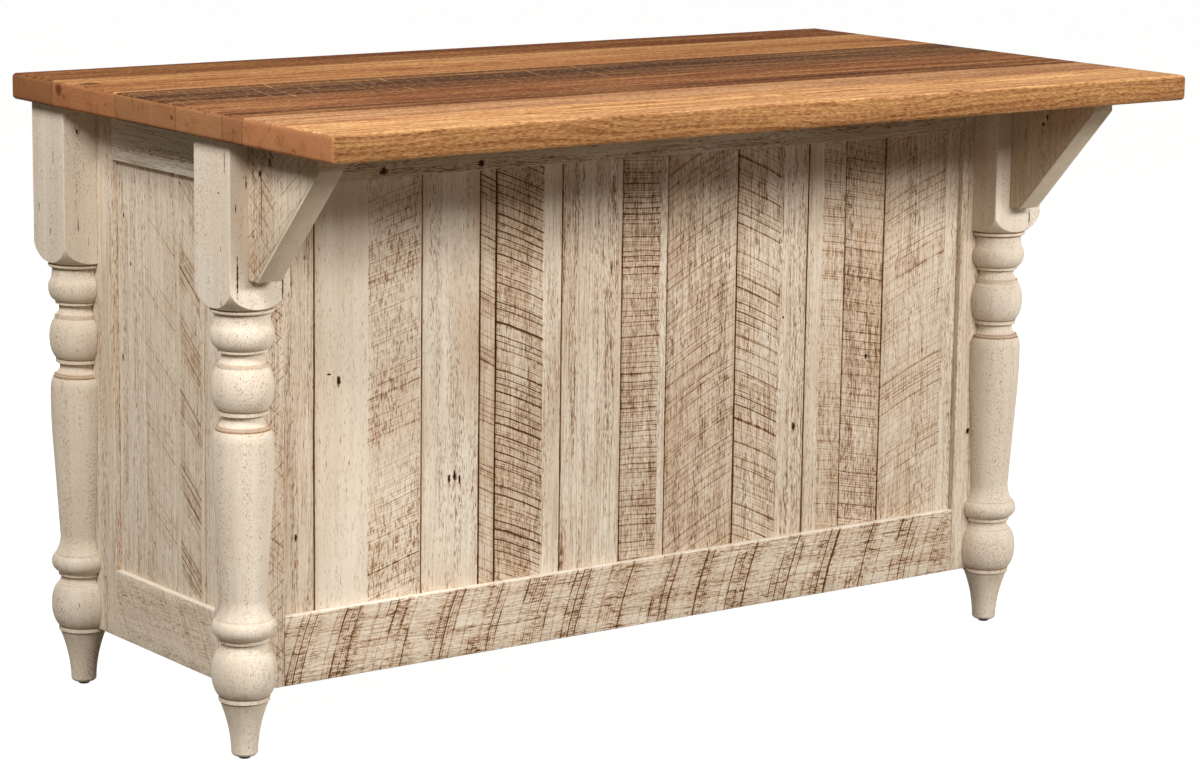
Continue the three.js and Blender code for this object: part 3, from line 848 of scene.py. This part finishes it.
def ring_faces(rings, sides, downwards=False):
    """Faces between rings of points, with a cap on the first and on the last."""
    quads = []
    for start in range(0, (rings - 1) * sides, sides):
        for i in range(sides):
            near, after = start + i, start + (i + 1) % sides
            if downwards:
                quads.append([near, near + sides, after + sides, after])
            else:
                quads.append([near, after, after + sides, near + sides])
    first = list(range(sides))
    last = [(rings - 1) * sides + i for i in range(sides)]
    return [first, *quads, last[::-1]] if downwards else [*quads, first[::-1], last]


def leg_mesh(top, seed):
    """The whole leg on its own axis. The notch for the cabinet's corner, towards +X and +Y, is cut from it
    afterwards.
    """
    turned = turned_rows(top / MM - BLOCK_HEIGHT)
    columns = []
    for angle in leg_angles():
        block = block_rows(top / MM, angle)
        columns.append([*block, *turned])
    cavity_rows = [0.0] * len(block) + hollow_depth(turned)
    points = []
    cavity = []
    for row, hollow in enumerate(cavity_rows):
        for angle, column in zip(leg_angles(), columns):
            radius, height = column[row]
            direction = Vector((math.cos(angle), math.sin(angle), 0))
            point = direction * radius * MM + Vector((0, 0, height * MM))
            nick = noise.noise(point * LEG_NICK_SCALE + Vector((seed, 0, seed)))
            points.append(point - direction * max(0.0, nick) * LEG_NICK * MM)
            cavity.append(hollow)
    return points, ring_faces(len(cavity_rows), len(columns), downwards=True), cavity


def cut_with_box(piece, low, high):
    """Cuts a box out of a piece and makes the result its mesh."""
    points, faces = skin_of_grid([[low[i], high[i]] for i in range(3)])
    cutter = add_object("cutter", points, faces, piece.data.materials[0], smooth=False)
    boolean = piece.modifiers.new("cut", "BOOLEAN")
    boolean.operation = "DIFFERENCE"
    boolean.solver = "EXACT"
    boolean.object = cutter
    depsgraph = bpy.context.evaluated_depsgraph_get()
    mesh = bpy.data.meshes.new_from_object(piece.evaluated_get(depsgraph))
    piece.modifiers.clear()
    piece.data = mesh
    bpy.data.objects.remove(cutter)
    mesh.set_sharp_from_angle(angle=SHARP_ANGLE)


def lathe(rows, sides):
    """Points and faces of a turned piece on the Z axis. Rows are (radius, height) upwards."""
    points = []
    for radius, height in rows:
        for i in range(sides):
            angle = 2 * math.pi * i / sides
            points.append((radius * math.cos(angle), radius * math.sin(angle), height))
    return np.array(points), ring_faces(len(rows), sides)


def in_metres(rows):
    return [(radius * MM, height * MM) for radius, height in rows]


def add_turned(name, node, body, rows, sides, place):
    """A metal piece turned on an axis along Y, from rows of (radius, how far out)."""
    points, faces = lathe(in_metres(rows), sides)
    turned = [(x + place[0], place[1] + z, y + place[2]) for x, y, z in points]
    piece = add_object(name, turned, [face[::-1] for face in faces], BRONZE)
    dress(piece, body, "iron", node)


# ---- worktop
WORKTOP_BOARDS = [
    dict(slot="board_honey", end=(176, 121, 82), edge=(156, 113, 72), pith=(90, -60), seed=1.3,
         stripes=[(0, (203, 158, 111)), (60, (211, 164, 113)), (80, (218, 172, 118)),
                  (128, (207, 158, 109)), (145, (195, 152, 111)), (224, (187, 144, 105))]),
    dict(slot="board_brown", end=(158, 109, 75), edge=(140, 96, 62), pith=(26, 120), seed=2.9,
         stripes=[(0, (122, 79, 50)), (36, (112, 71, 45)), (46, (76, 45, 28)), (52, (99, 62, 39))]),
    dict(slot="board_chestnut", end=(165, 117, 80), edge=(150, 100, 66), pith=(60, -90), seed=4.1,
         stripes=[(0, (132, 87, 57)), (60, (142, 95, 62)), (124, (126, 83, 54))]),
    dict(slot="board_walnut", end=(160, 113, 77), edge=(130, 90, 62), pith=(100, 150), seed=6.7,
         scratches=True, end_spots=[(10, 20, 5, (58, 30, 18))],
         stripes=[(0, (117, 78, 50)), (50, (91, 61, 41)), (110, (81, 55, 38)), (168, (112, 75, 48))]),
    dict(slot="board_gold", end=(172, 116, 78), edge=(170, 116, 72), pith=(80, -70), seed=8.2,
         stripes=[(0, (198, 154, 105)), (8, (176, 125, 80)), (80, (169, 118, 75)),
                  (120, (189, 141, 92)), (186, (193, 148, 99))],
         knots=[(120, -735, 26)], end_spots=[(166, 26, 13, (96, 38, 26)), (150, 18, 7, (110, 48, 32))]),
    dict(slot="board_umber", end=(150, 103, 68), edge=(130, 84, 52), pith=(60, 130), seed=9.6,
         stripes=[(0, (122, 77, 45)), (60, (129, 83, 48)), (126, (114, 69, 40))]),
]


def add_worktop():
    for i, board in enumerate(WORKTOP_BOARDS):
        node = f"worktop_board_{i + 1}"
        low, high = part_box(node)
        material = varnished_board(node, low, high, board)
        points, faces = worktop_board(low, high, i == 0, i == len(WORKTOP_BOARDS) - 1)
        piece = add_object(f"{node}_oiled", points, faces, material)
        dress(piece, "island", board["slot"], node)


def worktop_board(low, high, front, back):
    """One board of the glued top. Only the slab's outer edges are eased."""
    ease = TOP_EASE * MM
    eases = (ease, ease if front or back else SEAM_EASE * MM, ease)
    points, faces = skin_of_grid([grid_places(low[i], high[i], eases[i]) for i in range(3)])
    core_low = np.array([low.x + ease, low.y + (ease if front else 0), low.z + ease])
    core_high = np.array([high.x - ease, high.y - (ease if back else 0), high.z - ease])
    core, out = pushed_out(points, core_low, core_high)
    return core + out * ease, faces


# ---- legs and brackets
LEG_LOOKS = dict(
    cavity=True, width=1.0, pores=0.43, shortness=260.0, fineness=0.9, streaks=0.0, fibre=0.03,
    stain=0.14, paint=srgb(*LEG_PAINT), cracks=0.5,
)
# Dark checks in the paint of the blocks, given as in knot_mask. The legs' order is that of the turns.
LEG_CHECKS = dict(
    seating_left=[
        (-731, 690, 1.4, 26, -150), (-717, 817, 1.1, 10, -150), (-733, 784, 1.0, 9, -150),
        (-660, 668, 1.4, 12, -150), (-743, 845, 1.1, 16, -137), (-743, 727, 1.1, 7, -126),
        (-743, 802, 1.6, 1.2, -121), (-743, 651, 1.0, 7, -126), (-743, 678, 1.3, 1.2, -95),
    ],
    seating_right=[(720, 664, 1.5, 9, -150), (725, 845, 1.0, 12, -150)],
    working_right=[(743, 760, 1.2, 12, 380), (700, 830, 1.1, 9, 414)],
    working_left=[
        (-743, 800, 1.1, 12, 350), (-743, 720, 1.1, 9, 395), (-720, 838, 2.1, 2, 319),
        (-743, 690, 1.0, 7, 362), (-720, 700, 1.0, 13, 319),
    ],
)


def add_legs():
    edge = (LEG_FROM_CORNER - FIT) * MM
    reach = NOTCH_REACH * MM
    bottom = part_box("seating_bottom_rail")[0].z - FIT * MM
    for turns, (name, checks) in enumerate(LEG_CHECKS.items()):
        node = f"leg_{name}"
        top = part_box(node)[1].z
        glide_low, glide_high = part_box(f"glide_{name}")
        axis = (glide_low + glide_high) / 2
        seed = 1.7 * turns + 0.4
        points, faces, cavity = leg_mesh(top, seed)
        leg = add_object(f"turned_{node}", points, faces, painted(node, seed=seed, knots=checks, **LEG_LOOKS))
        # how deep each point lies in a quirk, which darkens the paint there as brown glaze and painted shade
        attribute = leg.data.attributes.new("cavity", "FLOAT", "POINT")
        attribute.data.foreach_set("value", np.array(cavity, np.float32))
        cut_with_box(leg, (edge, edge, bottom), (reach, reach, top + CUT_PAST * MM))
        turn = Matrix.Rotation(math.radians(90 * turns), 4, "Z")
        leg.data.transform(Matrix.Translation((axis.x, axis.y, 0)) @ turn)
        dress(leg, "island", "leg_paint", node)
        add_glide(f"glide_{name}", glide_low, glide_high)


def add_glide(node, low, high):
    middle = (low + high) / 2
    radius = (high.x - low.x) / 2
    ease = GLIDE_EASE * MM
    rows = [(radius * 0.55, low.z), (radius - ease, low.z), (radius - ease * 0.3, low.z + ease * 0.3)]
    rows += [(radius, low.z + ease), (radius, high.z - ease * 0.5), (radius - ease * 0.5, high.z)]
    points, faces = lathe(rows, GLIDE_SIDES)
    glide = add_object(f"{node}_disc", points + np.array([middle.x, middle.y, 0]), faces, PLASTIC)
    dress(glide, "island", "glide", node)


def prism_mesh(outline, low_x, high_x, ease):
    """A prism with this outline in Y and Z, its edges eased, as a Blender mesh."""
    shape = bmesh.new()
    near = [shape.verts.new((low_x, y, z)) for y, z in outline]
    far = [shape.verts.new((high_x, y, z)) for y, z in outline]
    shape.faces.new(near)
    shape.faces.new(far[::-1])
    for i in range(len(outline)):
        after = (i + 1) % len(outline)
        shape.faces.new((near[after], near[i], far[i], far[after]))
    bmesh.ops.recalc_face_normals(shape, faces=shape.faces)
    bmesh.ops.bevel(shape, geom=list(shape.edges), offset=ease, segments=3, affect="EDGES", profile=0.5)
    mesh = bpy.data.meshes.new("prism")
    shape.to_mesh(mesh)
    shape.free()
    return mesh


BRACKET_LOOKS = dict(
    left=dict(pores=0.4, streaks=0.15, stain=0.05, saw=0.75, strong=1.3, cross=0.55, spacing=0.017,
              slope=-0.8, start=0.118, stop=0.210, cracks=0.4,
              knots=[(168, 62, 3, 0.4), (150, 150, 4, 1.6), (125, 168, 3.5, 2), (147, 110, 1.0, 70)]),
    right=dict(pores=0.4, streaks=0.2, stain=0.2, tint=0.15,
               knots=[(112, 138, 3.4, 1, 0), (103, 150, 2.4, 2.5, 0)]),
)
SLOPE_LOOKS = dict(pores=0.2, streaks=0.0, fibre=0.05, stain=0.15, tint=0.08)


def add_brackets():
    """Each bracket's body, and the plainer board along its slope."""
    for name, looks in BRACKET_LOOKS.items():
        node = f"bracket_{name}"
        low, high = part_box(node)
        foot = Vector((high.y - BRACKET_FOOT * MM, low.z))
        nose = Vector((low.y, high.z - BRACKET_NOSE * MM))
        along = (nose - foot).normalized()
        inset = SLOPE_BOARD * MM
        inner_foot = foot + Vector((inset / along.y, 0.0))
        inner_nose = nose + Vector((0.0, inset / -along.x))
        body = [(high.y, high.z), (high.y, low.z), inner_foot, inner_nose, (low.y, high.z)]
        slope = [inner_foot, foot, nose, inner_nose]
        seed = 11.0 if name == "left" else 12.5
        common = dict(origin=low, axes="yxz", width=1.0, paint=srgb(*BRACKET_PAINT))
        add_prism(f"{node}_body", node, body, painted(node, seed=seed, **common, **looks))
        material = painted(f"bracket_slope_{name}", seed=seed + 3.0, **common, **SLOPE_LOOKS)
        add_prism(f"{node}_slope", node, slope, material)


def add_prism(name, node, outline, material):
    low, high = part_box(node)
    mesh = prism_mesh(outline, low.x, high.x, BOARD_EASE * MM)
    mesh.shade_smooth()
    mesh.set_sharp_from_angle(angle=SHARP_ANGLE)
    mesh.materials.append(material)
    dress(new_object(name, mesh), "island", "leg_paint", node)


# ---- seating side
SEATING_PLANKS = [
    dict(streaks=0.5, tint=0.16, stain=0.35, high_joint=0.9, knots=[(34, 118, 3, 2)]),
    dict(pores=0.28, streaks=0.05, fibre=0.05, stain=0.22, low_joint=0.9, high_joint=0.6, saw=0.75,
         strong=0.6, spacing=0.016, slope=-0.28, start=0.090, stop=0.178, lattice=1.1, period=0.21,
         knots=[(40, 335, 3.5, 3), (24, 346, 4, 0.4)]),
    dict(pores=0.7, streaks=0.1, fibre=0.12, stain=0.50, low_joint=0.7, high_joint=0.8,
         knots=[(48, 172, 3, 3), (58, 176, 3.4, 3), (66, 170, 2.6, 3)]),
    dict(pores=0.4, streaks=0.1, stain=0.4, tint=0.12, low_joint=0.9, high_joint=1.0, saw=0.85,
         spacing=0.009, slope=0.5, lattice=0.3, cluster=0.6, period=0.085),
    dict(pores=0.55, streaks=0.25, stain=0.35, low_joint=1.0, high_joint=0.4, saw=1.0, spacing=0.0125,
         slope=0.45, bow=1.0, start=-0.001, stop=0.084, thickness=0.0015, lattice=0.5, strong=1.6,
         cluster=0.0),
    dict(pores=0.8, streaks=0.6, stain=0.22, low_joint=0.7, high_joint=0.7),
    dict(pores=0.8, streaks=0.15, stain=0.25, low_joint=0.5, high_joint=0.5, saw=0.8, spacing=0.0080,
         slope=0.05, start=-0.001, stop=0.070, thickness=0.0011, lattice=0.5, cluster=0.1),
    dict(pores=0.8, streaks=0.2, low_joint=0.5, high_joint=0.9, saw=0.75, strong=0.7, spacing=0.0125,
         slope=-0.48, bow=0.8, lattice=0.55, cluster=0.2, period=0.11),
    dict(pores=0.7, streaks=0.55, stain=0.35, low_joint=1.0, high_joint=0.9, saw=1.0, spacing=0.0185,
         slope=0.52, bow=1.2, start=-0.001, stop=0.085, thickness=0.0018, lattice=0.5, cluster=0.35,
         period=0.14, knots=[(93, 353, 2.4, 1), (118, 180, 4, 2.2)]),
    dict(pores=0.5, streaks=0.1, stain=0.25, low_joint=0.8, high_joint=0.5, saw=0.75, strong=0.4,
         spacing=0.013, slope=0.15, start=0.030, stop=0.074),
    dict(pores=0.8, streaks=0.15, stain=0.25, low_joint=0.5, high_joint=0.9, saw=0.8, strong=0.7,
         spacing=0.011, slope=0.2, lattice=1.0, cluster=0.25, knots=[(48, 275, 3, 2)]),
    dict(streaks=0.05, stain=0.2, low_joint=0.8, high_joint=1.3, saw=0.7, strong=0.65, spacing=0.0145,
         slope=-0.36, bow=0.7, start=-0.001, stop=0.128, lattice=0.55, cluster=0.35, period=0.10),
]
LEFT_STILE = dict(
    pores=0.5, streaks=0.25, stain=0.15, saw=0.55, cross=0.5, spacing=0.014, slope=0.8, cluster=0.6,
    period=0.16,
)
RIGHT_STILE = dict(stain=0.2, knots=[(28, 227, 4, 1.6)])
TOP_RAIL = dict(
    pores=0.9, streaks=0.4, stain=0.45, tint=0.1, knots=[(10, 163, 7, 1.2), (10, 329, 6, 1.2)],
)
BOTTOM_RAIL = dict(
    pores=0.5, stain=0.15, saw=1.0, spacing=0.0165, slope=-0.33, bow=-1.1, thickness=0.0020,
    lattice=0.9, cluster=0.75, period=0.08, strong=1.2, worn_edge=1.0,
)


def add_seating_side():
    for i, looks in enumerate(SEATING_PLANKS):
        node = f"seating_plank_{i + 1:02d}"
        add_painted(f"{node}_sawn", node, "xyz", 20.0 + 1.37 * i, **looks)
    room = room_for(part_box("seating_plank_01")[0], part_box("seating_plank_12")[1], 1, CUT_PAST)
    for side, seed, looks in (("left", 44.0, LEFT_STILE), ("right", 45.0, RIGHT_STILE)):
        node = f"seating_stile_{side}"
        add_painted(f"{node}_painted", node, "xyz", seed, room=room, **looks)
    for level, seed, looks in (("top", 47.0, TOP_RAIL), ("bottom", 50.0, BOTTOM_RAIL)):
        node = f"seating_{level}_rail"
        add_painted(f"{node}_painted", node, "zyx", seed, slot="rail_paint", room=room, **looks)


# ---- ends
END_STILE = dict(streaks=0.15, stain=0.25, cracks=0.3)
END_TOP_RAIL = dict(stain=0.1, paint=(0.87, 0.80, 0.69, 1.0))
END_BOTTOM_RAIL = dict(
    pores=0.4, streaks=0.1, fibre=0.1, stain=0.05, saw=0.45, strong=0.7, spacing=0.012, slope=-0.6,
    lattice=0.5, worn_edge=0.9,
)
END_PLANKS = [
    dict(pores=0.5, streaks=0.12, fibre=0.16, stain=0.12, high_joint=0.3),
    dict(pores=0.5, streaks=0.12, fibre=0.16, stain=0.2, low_joint=0.3, saw=0.95, spacing=0.011,
         slope=-0.75, bow=0.6, lattice=0.3, cluster=0.85, period=0.105, start=0.012, stop=0.070,
         strong=1.25),
    dict(pores=0.5, streaks=0.15, fibre=0.18, stain=0.12, saw=0.45, spacing=0.028, slope=-0.62,
         lattice=0.2, cluster=0.8, period=0.105),
    dict(streaks=0.2, fibre=0.2, stain=0.12, high_joint=1.6, cracks=0.3,
         knots=[(60, 540, 2.2, 3), (40, 470, 2.2, 2), (66, 330, 2.4, 3)]),
]


def add_ends():
    for number, side in enumerate(SIDES):
        seed = 60.0 + 11.3 * number
        node, panel_node = f"end_frame_{side}", f"end_panel_{side}"
        box = low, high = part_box(node)
        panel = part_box(panel_node)
        room = room_for(*panel, 0, -CUT_PAST if number else CUT_PAST)
        stile = STILE_WIDTH * MM
        for i, strip in enumerate(both_sides(box, "y", stile)):
            add_painted(f"end_stile_{side}_{i + 1}", node, "yxz", seed + i, strip, room=room, **END_STILE)
        for level, shift, looks in (("top", 6, END_TOP_RAIL), ("bottom", 9, END_BOTTOM_RAIL)):
            rail_low, rail_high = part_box(f"seating_{level}_rail")
            rail = part(box, y=(low.y + stile, high.y - stile), z=(rail_low.z, rail_high.z))
            name = f"end_{level}_rail_{side}"
            add_painted(name, node, "zxy", seed + shift, rail, room=room, **looks)
        for i, plank in enumerate(side_by_side(panel, "y", END_WIDTHS)):
            name = f"end_plank_{side}_{i + 1}"
            add_painted(name, panel_node, "yxz", seed + 20 + i, plank, **END_PLANKS[i])


# ---- working side
FACE_BOARD = dict(pores=0.5, streaks=0.25, stain=0.35)
SAWN_BOARD = dict(
    pores=0.5, streaks=0.2, stain=0.25, saw=0.7, strong=0.9, spacing=0.016, slope=0.4, lattice=0.6,
    cluster=0.5, period=0.09,
)


def add_face_frame():
    node = "working_face_frame"
    box = low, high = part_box(node)
    stile, gap = STILE_WIDTH * MM, LEAF_GAP * MM
    left, right = low.x + stile, high.x - stile
    open_low, open_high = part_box("seating_bottom_rail")[1].z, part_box("seating_top_rail")[0].z
    fronts = {name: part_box(f"drawer_front_{name}") for name in DRAWER_PARTS}
    inner = fronts["top"][0].x - gap, fronts["top"][1].x + gap
    boards = [
        ("xyz", (low.x, left), (low.z, high.z)),
        ("xyz", (right, high.x), (low.z, high.z)),
        ("xyz", (inner[0] - stile, inner[0]), (open_low, open_high)),
        ("xyz", (inner[1], inner[1] + stile), (open_low, open_high)),
        ("zyx", (left, right), (open_high, high.z)),
        ("zyx", (left, right), (low.z, open_low)),
    ]
    for above, below in zip(DRAWER_PARTS, DRAWER_PARTS[1:]):
        boards.append(("zyx", inner, (fronts[below][1].z + gap, fronts[above][0].z - gap)))
    for i, (axes, x, z) in enumerate(boards):
        seed = 90.0 + 2.3 * i
        add_painted(f"face_frame_board_{i + 1}", node, axes, seed, part(box, x=x, z=z), **FACE_BOARD)


def add_doors():
    width = DOOR_STILE * MM
    for number, side in enumerate(SIDES):
        node = body = f"door_{side}"
        box = low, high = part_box(node)
        seed = 120.0 + 17.0 * number
        between = part(box, x=(low.x + width, high.x - width))
        for i, stile in enumerate(both_sides(box, "x", width)):
            add_painted(f"{node}_stile_{i + 1}", node, "xyz", seed + i, stile, body, **FACE_BOARD)
        for i, rail in enumerate(both_sides(between, "z", width)):
            add_painted(f"{node}_rail_{i + 1}", node, "zyx", seed + 4 + i, rail, body, **FACE_BOARD)
        thickness = low.y + DOOR_BACK_RECESS * MM, high.y - DOOR_RECESS * MM
        panel = part(between, y=thickness, z=(low.z + width, high.z - width))
        for i, plank in enumerate(side_by_side(panel, "x", DOOR_WIDTHS)):
            looks = END_PLANKS[(i + number) % len(END_PLANKS)]
            add_painted(f"{node}_plank_{i + 1}", node, "xyz", seed + 8 + i, plank, body, **looks)


def add_drawers():
    for number, name in enumerate(DRAWER_PARTS):
        body, node = f"drawer_{name}", f"drawer_front_{name}"
        add_painted(f"{node}_sawn", node, "zyx", 160.0 + 9.0 * number, body=body, **SAWN_BOARD)
        add_drawer_box(f"drawer_box_{name}", body)


def add_drawer_box(node, body):
    box = low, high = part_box(node)
    wall, bottom = DRAWER_WALL * MM, low.z + DRAWER_BOTTOM * MM
    walls = part(box, z=(bottom, high.z))
    left, right = both_sides(walls, "x", wall)
    back, front = both_sides(part(walls, x=(low.x + wall, high.x - wall)), "y", wall)
    boards = [
        ("bottom", LONG_WOOD, part(box, z=(low.z, bottom))), ("left", DEEP_WOOD, left),
        ("right", DEEP_WOOD, right), ("back", LONG_WOOD, back), ("front", LONG_WOOD, front),
    ]
    for name, wood, board in boards:
        add_board(f"{node}_{name}", node, wood, body, "bare_wood", board, DRAWER_EASE, NEAT_WEAR)


def add_knobs():
    bodies = [f"drawer_{name}" for name in DRAWER_PARTS] + [f"door_{side}" for side in SIDES]
    for body in bodies:
        kind, name = body.split("_")
        node = f"{kind}_knob_{name}"
        low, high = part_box(node)
        middle = (low + high) / 2
        add_turned(f"{node}_turned", node, body, KNOB_ROWS, KNOB_SIDES, (middle.x, low.y, middle.z))


def add_hinges():
    radius = HINGE_RADIUS * MM
    for side, inwards in zip(SIDES, (1, -1)):
        for level in ("upper", "lower"):
            node = f"hinge_{side}_{level}"
            low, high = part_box(node)
            axis = Vector((high.x - radius if inwards > 0 else low.x + radius, high.y - radius, 0))
            add_hinge_leaf(f"{node}_frame_leaf", node, axis, -inwards, "island")
            add_hinge_leaf(f"{node}_door_leaf", node, axis, inwards, f"door_{side}")
            points, faces = lathe(in_metres(hinge_rows((high.z - low.z) / 2 / MM)), HINGE_SIDES)
            shift = np.array([axis.x, axis.y, (low.z + high.z) / 2])
            barrel = add_object(f"{node}_barrel", points + shift, faces, BRONZE)
            dress(barrel, "island", "iron", node)


def hinge_rows(half):
    """Radius and height of a hinge's barrel: knuckles with a gap between them."""
    body = half - HINGE_TIP
    tip, waist = HINGE_RADIUS * 0.7, HINGE_RADIUS - KNUCKLE_GAP
    rows = [(0.2, -half), (tip, -half + 0.5), (HINGE_RADIUS, -body)]
    for i in range(1, KNUCKLES):
        height = -body + 2 * body / KNUCKLES * i
        rows += [(HINGE_RADIUS, height - 0.3), (waist, height - 0.1)]
        rows += [(waist, height + 0.1), (HINGE_RADIUS, height + 0.3)]
    return rows + [(HINGE_RADIUS, body), (tip, half - 0.5), (0.2, half)]


def add_hinge_leaf(name, node, axis, outwards, body):
    """A leaf from the axis outwards, with three screws, lying on the face behind the barrel."""
    low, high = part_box(node)
    start = Vector((axis.x, low.y, low.z + HINGE_TIP * MM))
    stop_x = axis.x + outwards * LEAF_WIDTH * MM
    stop = Vector((stop_x, low.y + LEAF_THICKNESS * MM, high.z - HINGE_TIP * MM))
    near, far = Vector(map(min, start, stop)), Vector(map(max, start, stop))
    add_board(name, node, BRONZE, body, "iron", (near, far), LEAF_EASE, 0.0)
    middle = (near + far) / 2
    for i, shift in SCREW_SHIFTS.items():
        x = middle.x + outwards * shift * MM
        z = middle.z + i * (far.z - near.z) * SCREW_SPACING
        add_turned(f"{name}_screw_{i + 2}", node, body, SCREW_ROWS, SCREW_SIDES, (x, far.y, z))


def add_bare(name, node, wood, box=None, worn=BOARD_WEAR):
    add_board(name, node, wood, "island", "bare_wood", box, worn=worn)


def add_inside():
    for i, board in enumerate(side_by_side(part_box("cabinet_floor"), "y", FLOOR_WIDTHS)):
        add_bare(f"cabinet_floor_board_{i + 1}", "cabinet_floor", LONG_WOOD, board)
    for number, side in enumerate(SIDES):
        node = f"partition_{side}"
        box = low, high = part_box(node)
        wall = both_sides(box, "x", PARTITION * MM)[number]
        add_bare(f"{node}_board", node, UPRIGHT_WOOD, wall)
        beside = (low.x, wall[0].x) if number else (wall[1].x, high.x)
        for name in DRAWER_PARTS[:-1]:
            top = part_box(f"drawer_box_{name}")[0].z - FIT * MM
            run = part(box, x=beside, z=(top - RUNNER_HEIGHT * MM, top))
            add_bare(f"{node}_runner_{name}", node, DEEP_WOOD, run, NEAT_WEAR)
        add_bare(f"shelf_{side}_board", f"shelf_{side}", LONG_WOOD)


# ---- stage, light and camera
def seen(graph):
    """1 for rays from the camera, mirrored or passed through, and 0 for those that light things."""
    path = graph.add("ShaderNodeLightPath")
    rays = [graph.out(path, f"Is {kind} Ray") for kind in ("Camera", "Glossy", "Transmission")]
    return rays[0].at_least(rays[1]).at_least(rays[2])


def add_stage():
    """A floor that looks white where it is lit, and keeps the object's shadow."""
    material, graph = new_material("studio floor")
    grey = graph.out(graph.add("ShaderNodeBsdfDiffuse", {"Color": FLOOR_COLOUR}))
    glow = graph.add("ShaderNodeEmission", {"Color": WHITE, "Strength": FLOOR_WHITE})
    white = graph.add("ShaderNodeAddShader", {0: graph.out(glow), 1: grey})
    both = graph.add("ShaderNodeMixShader", {0: seen(graph), 1: grey, 2: graph.out(white)})
    graph.add("ShaderNodeOutputMaterial", {"Surface": graph.out(both)})
    reach = FLOOR_REACH
    corners = [(-reach, -reach, 0), (reach, -reach, 0), (reach, reach, 0), (-reach, reach, 0)]
    floor = add_object("floor", corners, [[0, 1, 2, 3]], material, smooth=False)


def add_world():
    """A dim warm light from all round, which looks white where it is seen."""
    world = bpy.data.worlds.new("studio")
    bpy.context.scene.world = world
    world.use_nodes = True
    world.node_tree.nodes.clear()
    graph = Graph(world.node_tree)
    plain = graph.add("ShaderNodeBackground", {"Color": WORLD_COLOUR, "Strength": WORLD_STRENGTH})
    white = graph.add("ShaderNodeBackground", {"Color": WHITE, "Strength": 1.0})
    shades = {0: seen(graph), 1: graph.out(plain), 2: graph.out(white)}
    both = graph.add("ShaderNodeMixShader", shades)
    graph.add("ShaderNodeOutputWorld", {"Surface": graph.out(both)})


def add_lights():
    for name, place, target, width, height, power in LAMPS:
        data = bpy.data.lights.new(name, "AREA")
        data.shape = "RECTANGLE"
        data.size = width
        data.size_y = height
        data.energy = power
        lamp = new_object(name, data)
        lamp.location = place
        lamp.rotation_euler = (Vector(target) - Vector(place)).to_track_quat("-Z", "Y").to_euler()
        lamp.visible_camera = False


def add_camera():
    data = bpy.data.cameras.new("camera")
    data.lens = CAMERA_LENS
    data.sensor_width = CAMERA_SENSOR
    camera = new_object("camera", data)
    level = Matrix.Rotation(math.radians(-CAMERA_YAW), 4, "Z")
    tilt = Matrix.Rotation(math.radians(90 - CAMERA_PITCH), 4, "X")
    roll = Matrix.Rotation(math.radians(-CAMERA_ROLL), 4, "Z")
    camera.matrix_world = Matrix.Translation(CAMERA_PLACE) @ level @ tilt @ roll
    bpy.context.scene.camera = camera


add_camera()
add_stage()
add_world()
add_lights()
add_worktop()
add_legs()
add_brackets()
add_seating_side()
add_ends()
add_face_frame()
add_doors()
add_drawers()
add_knobs()
add_hinges()
add_inside()
bpy.context.scene.view_settings.view_transform = "Standard"
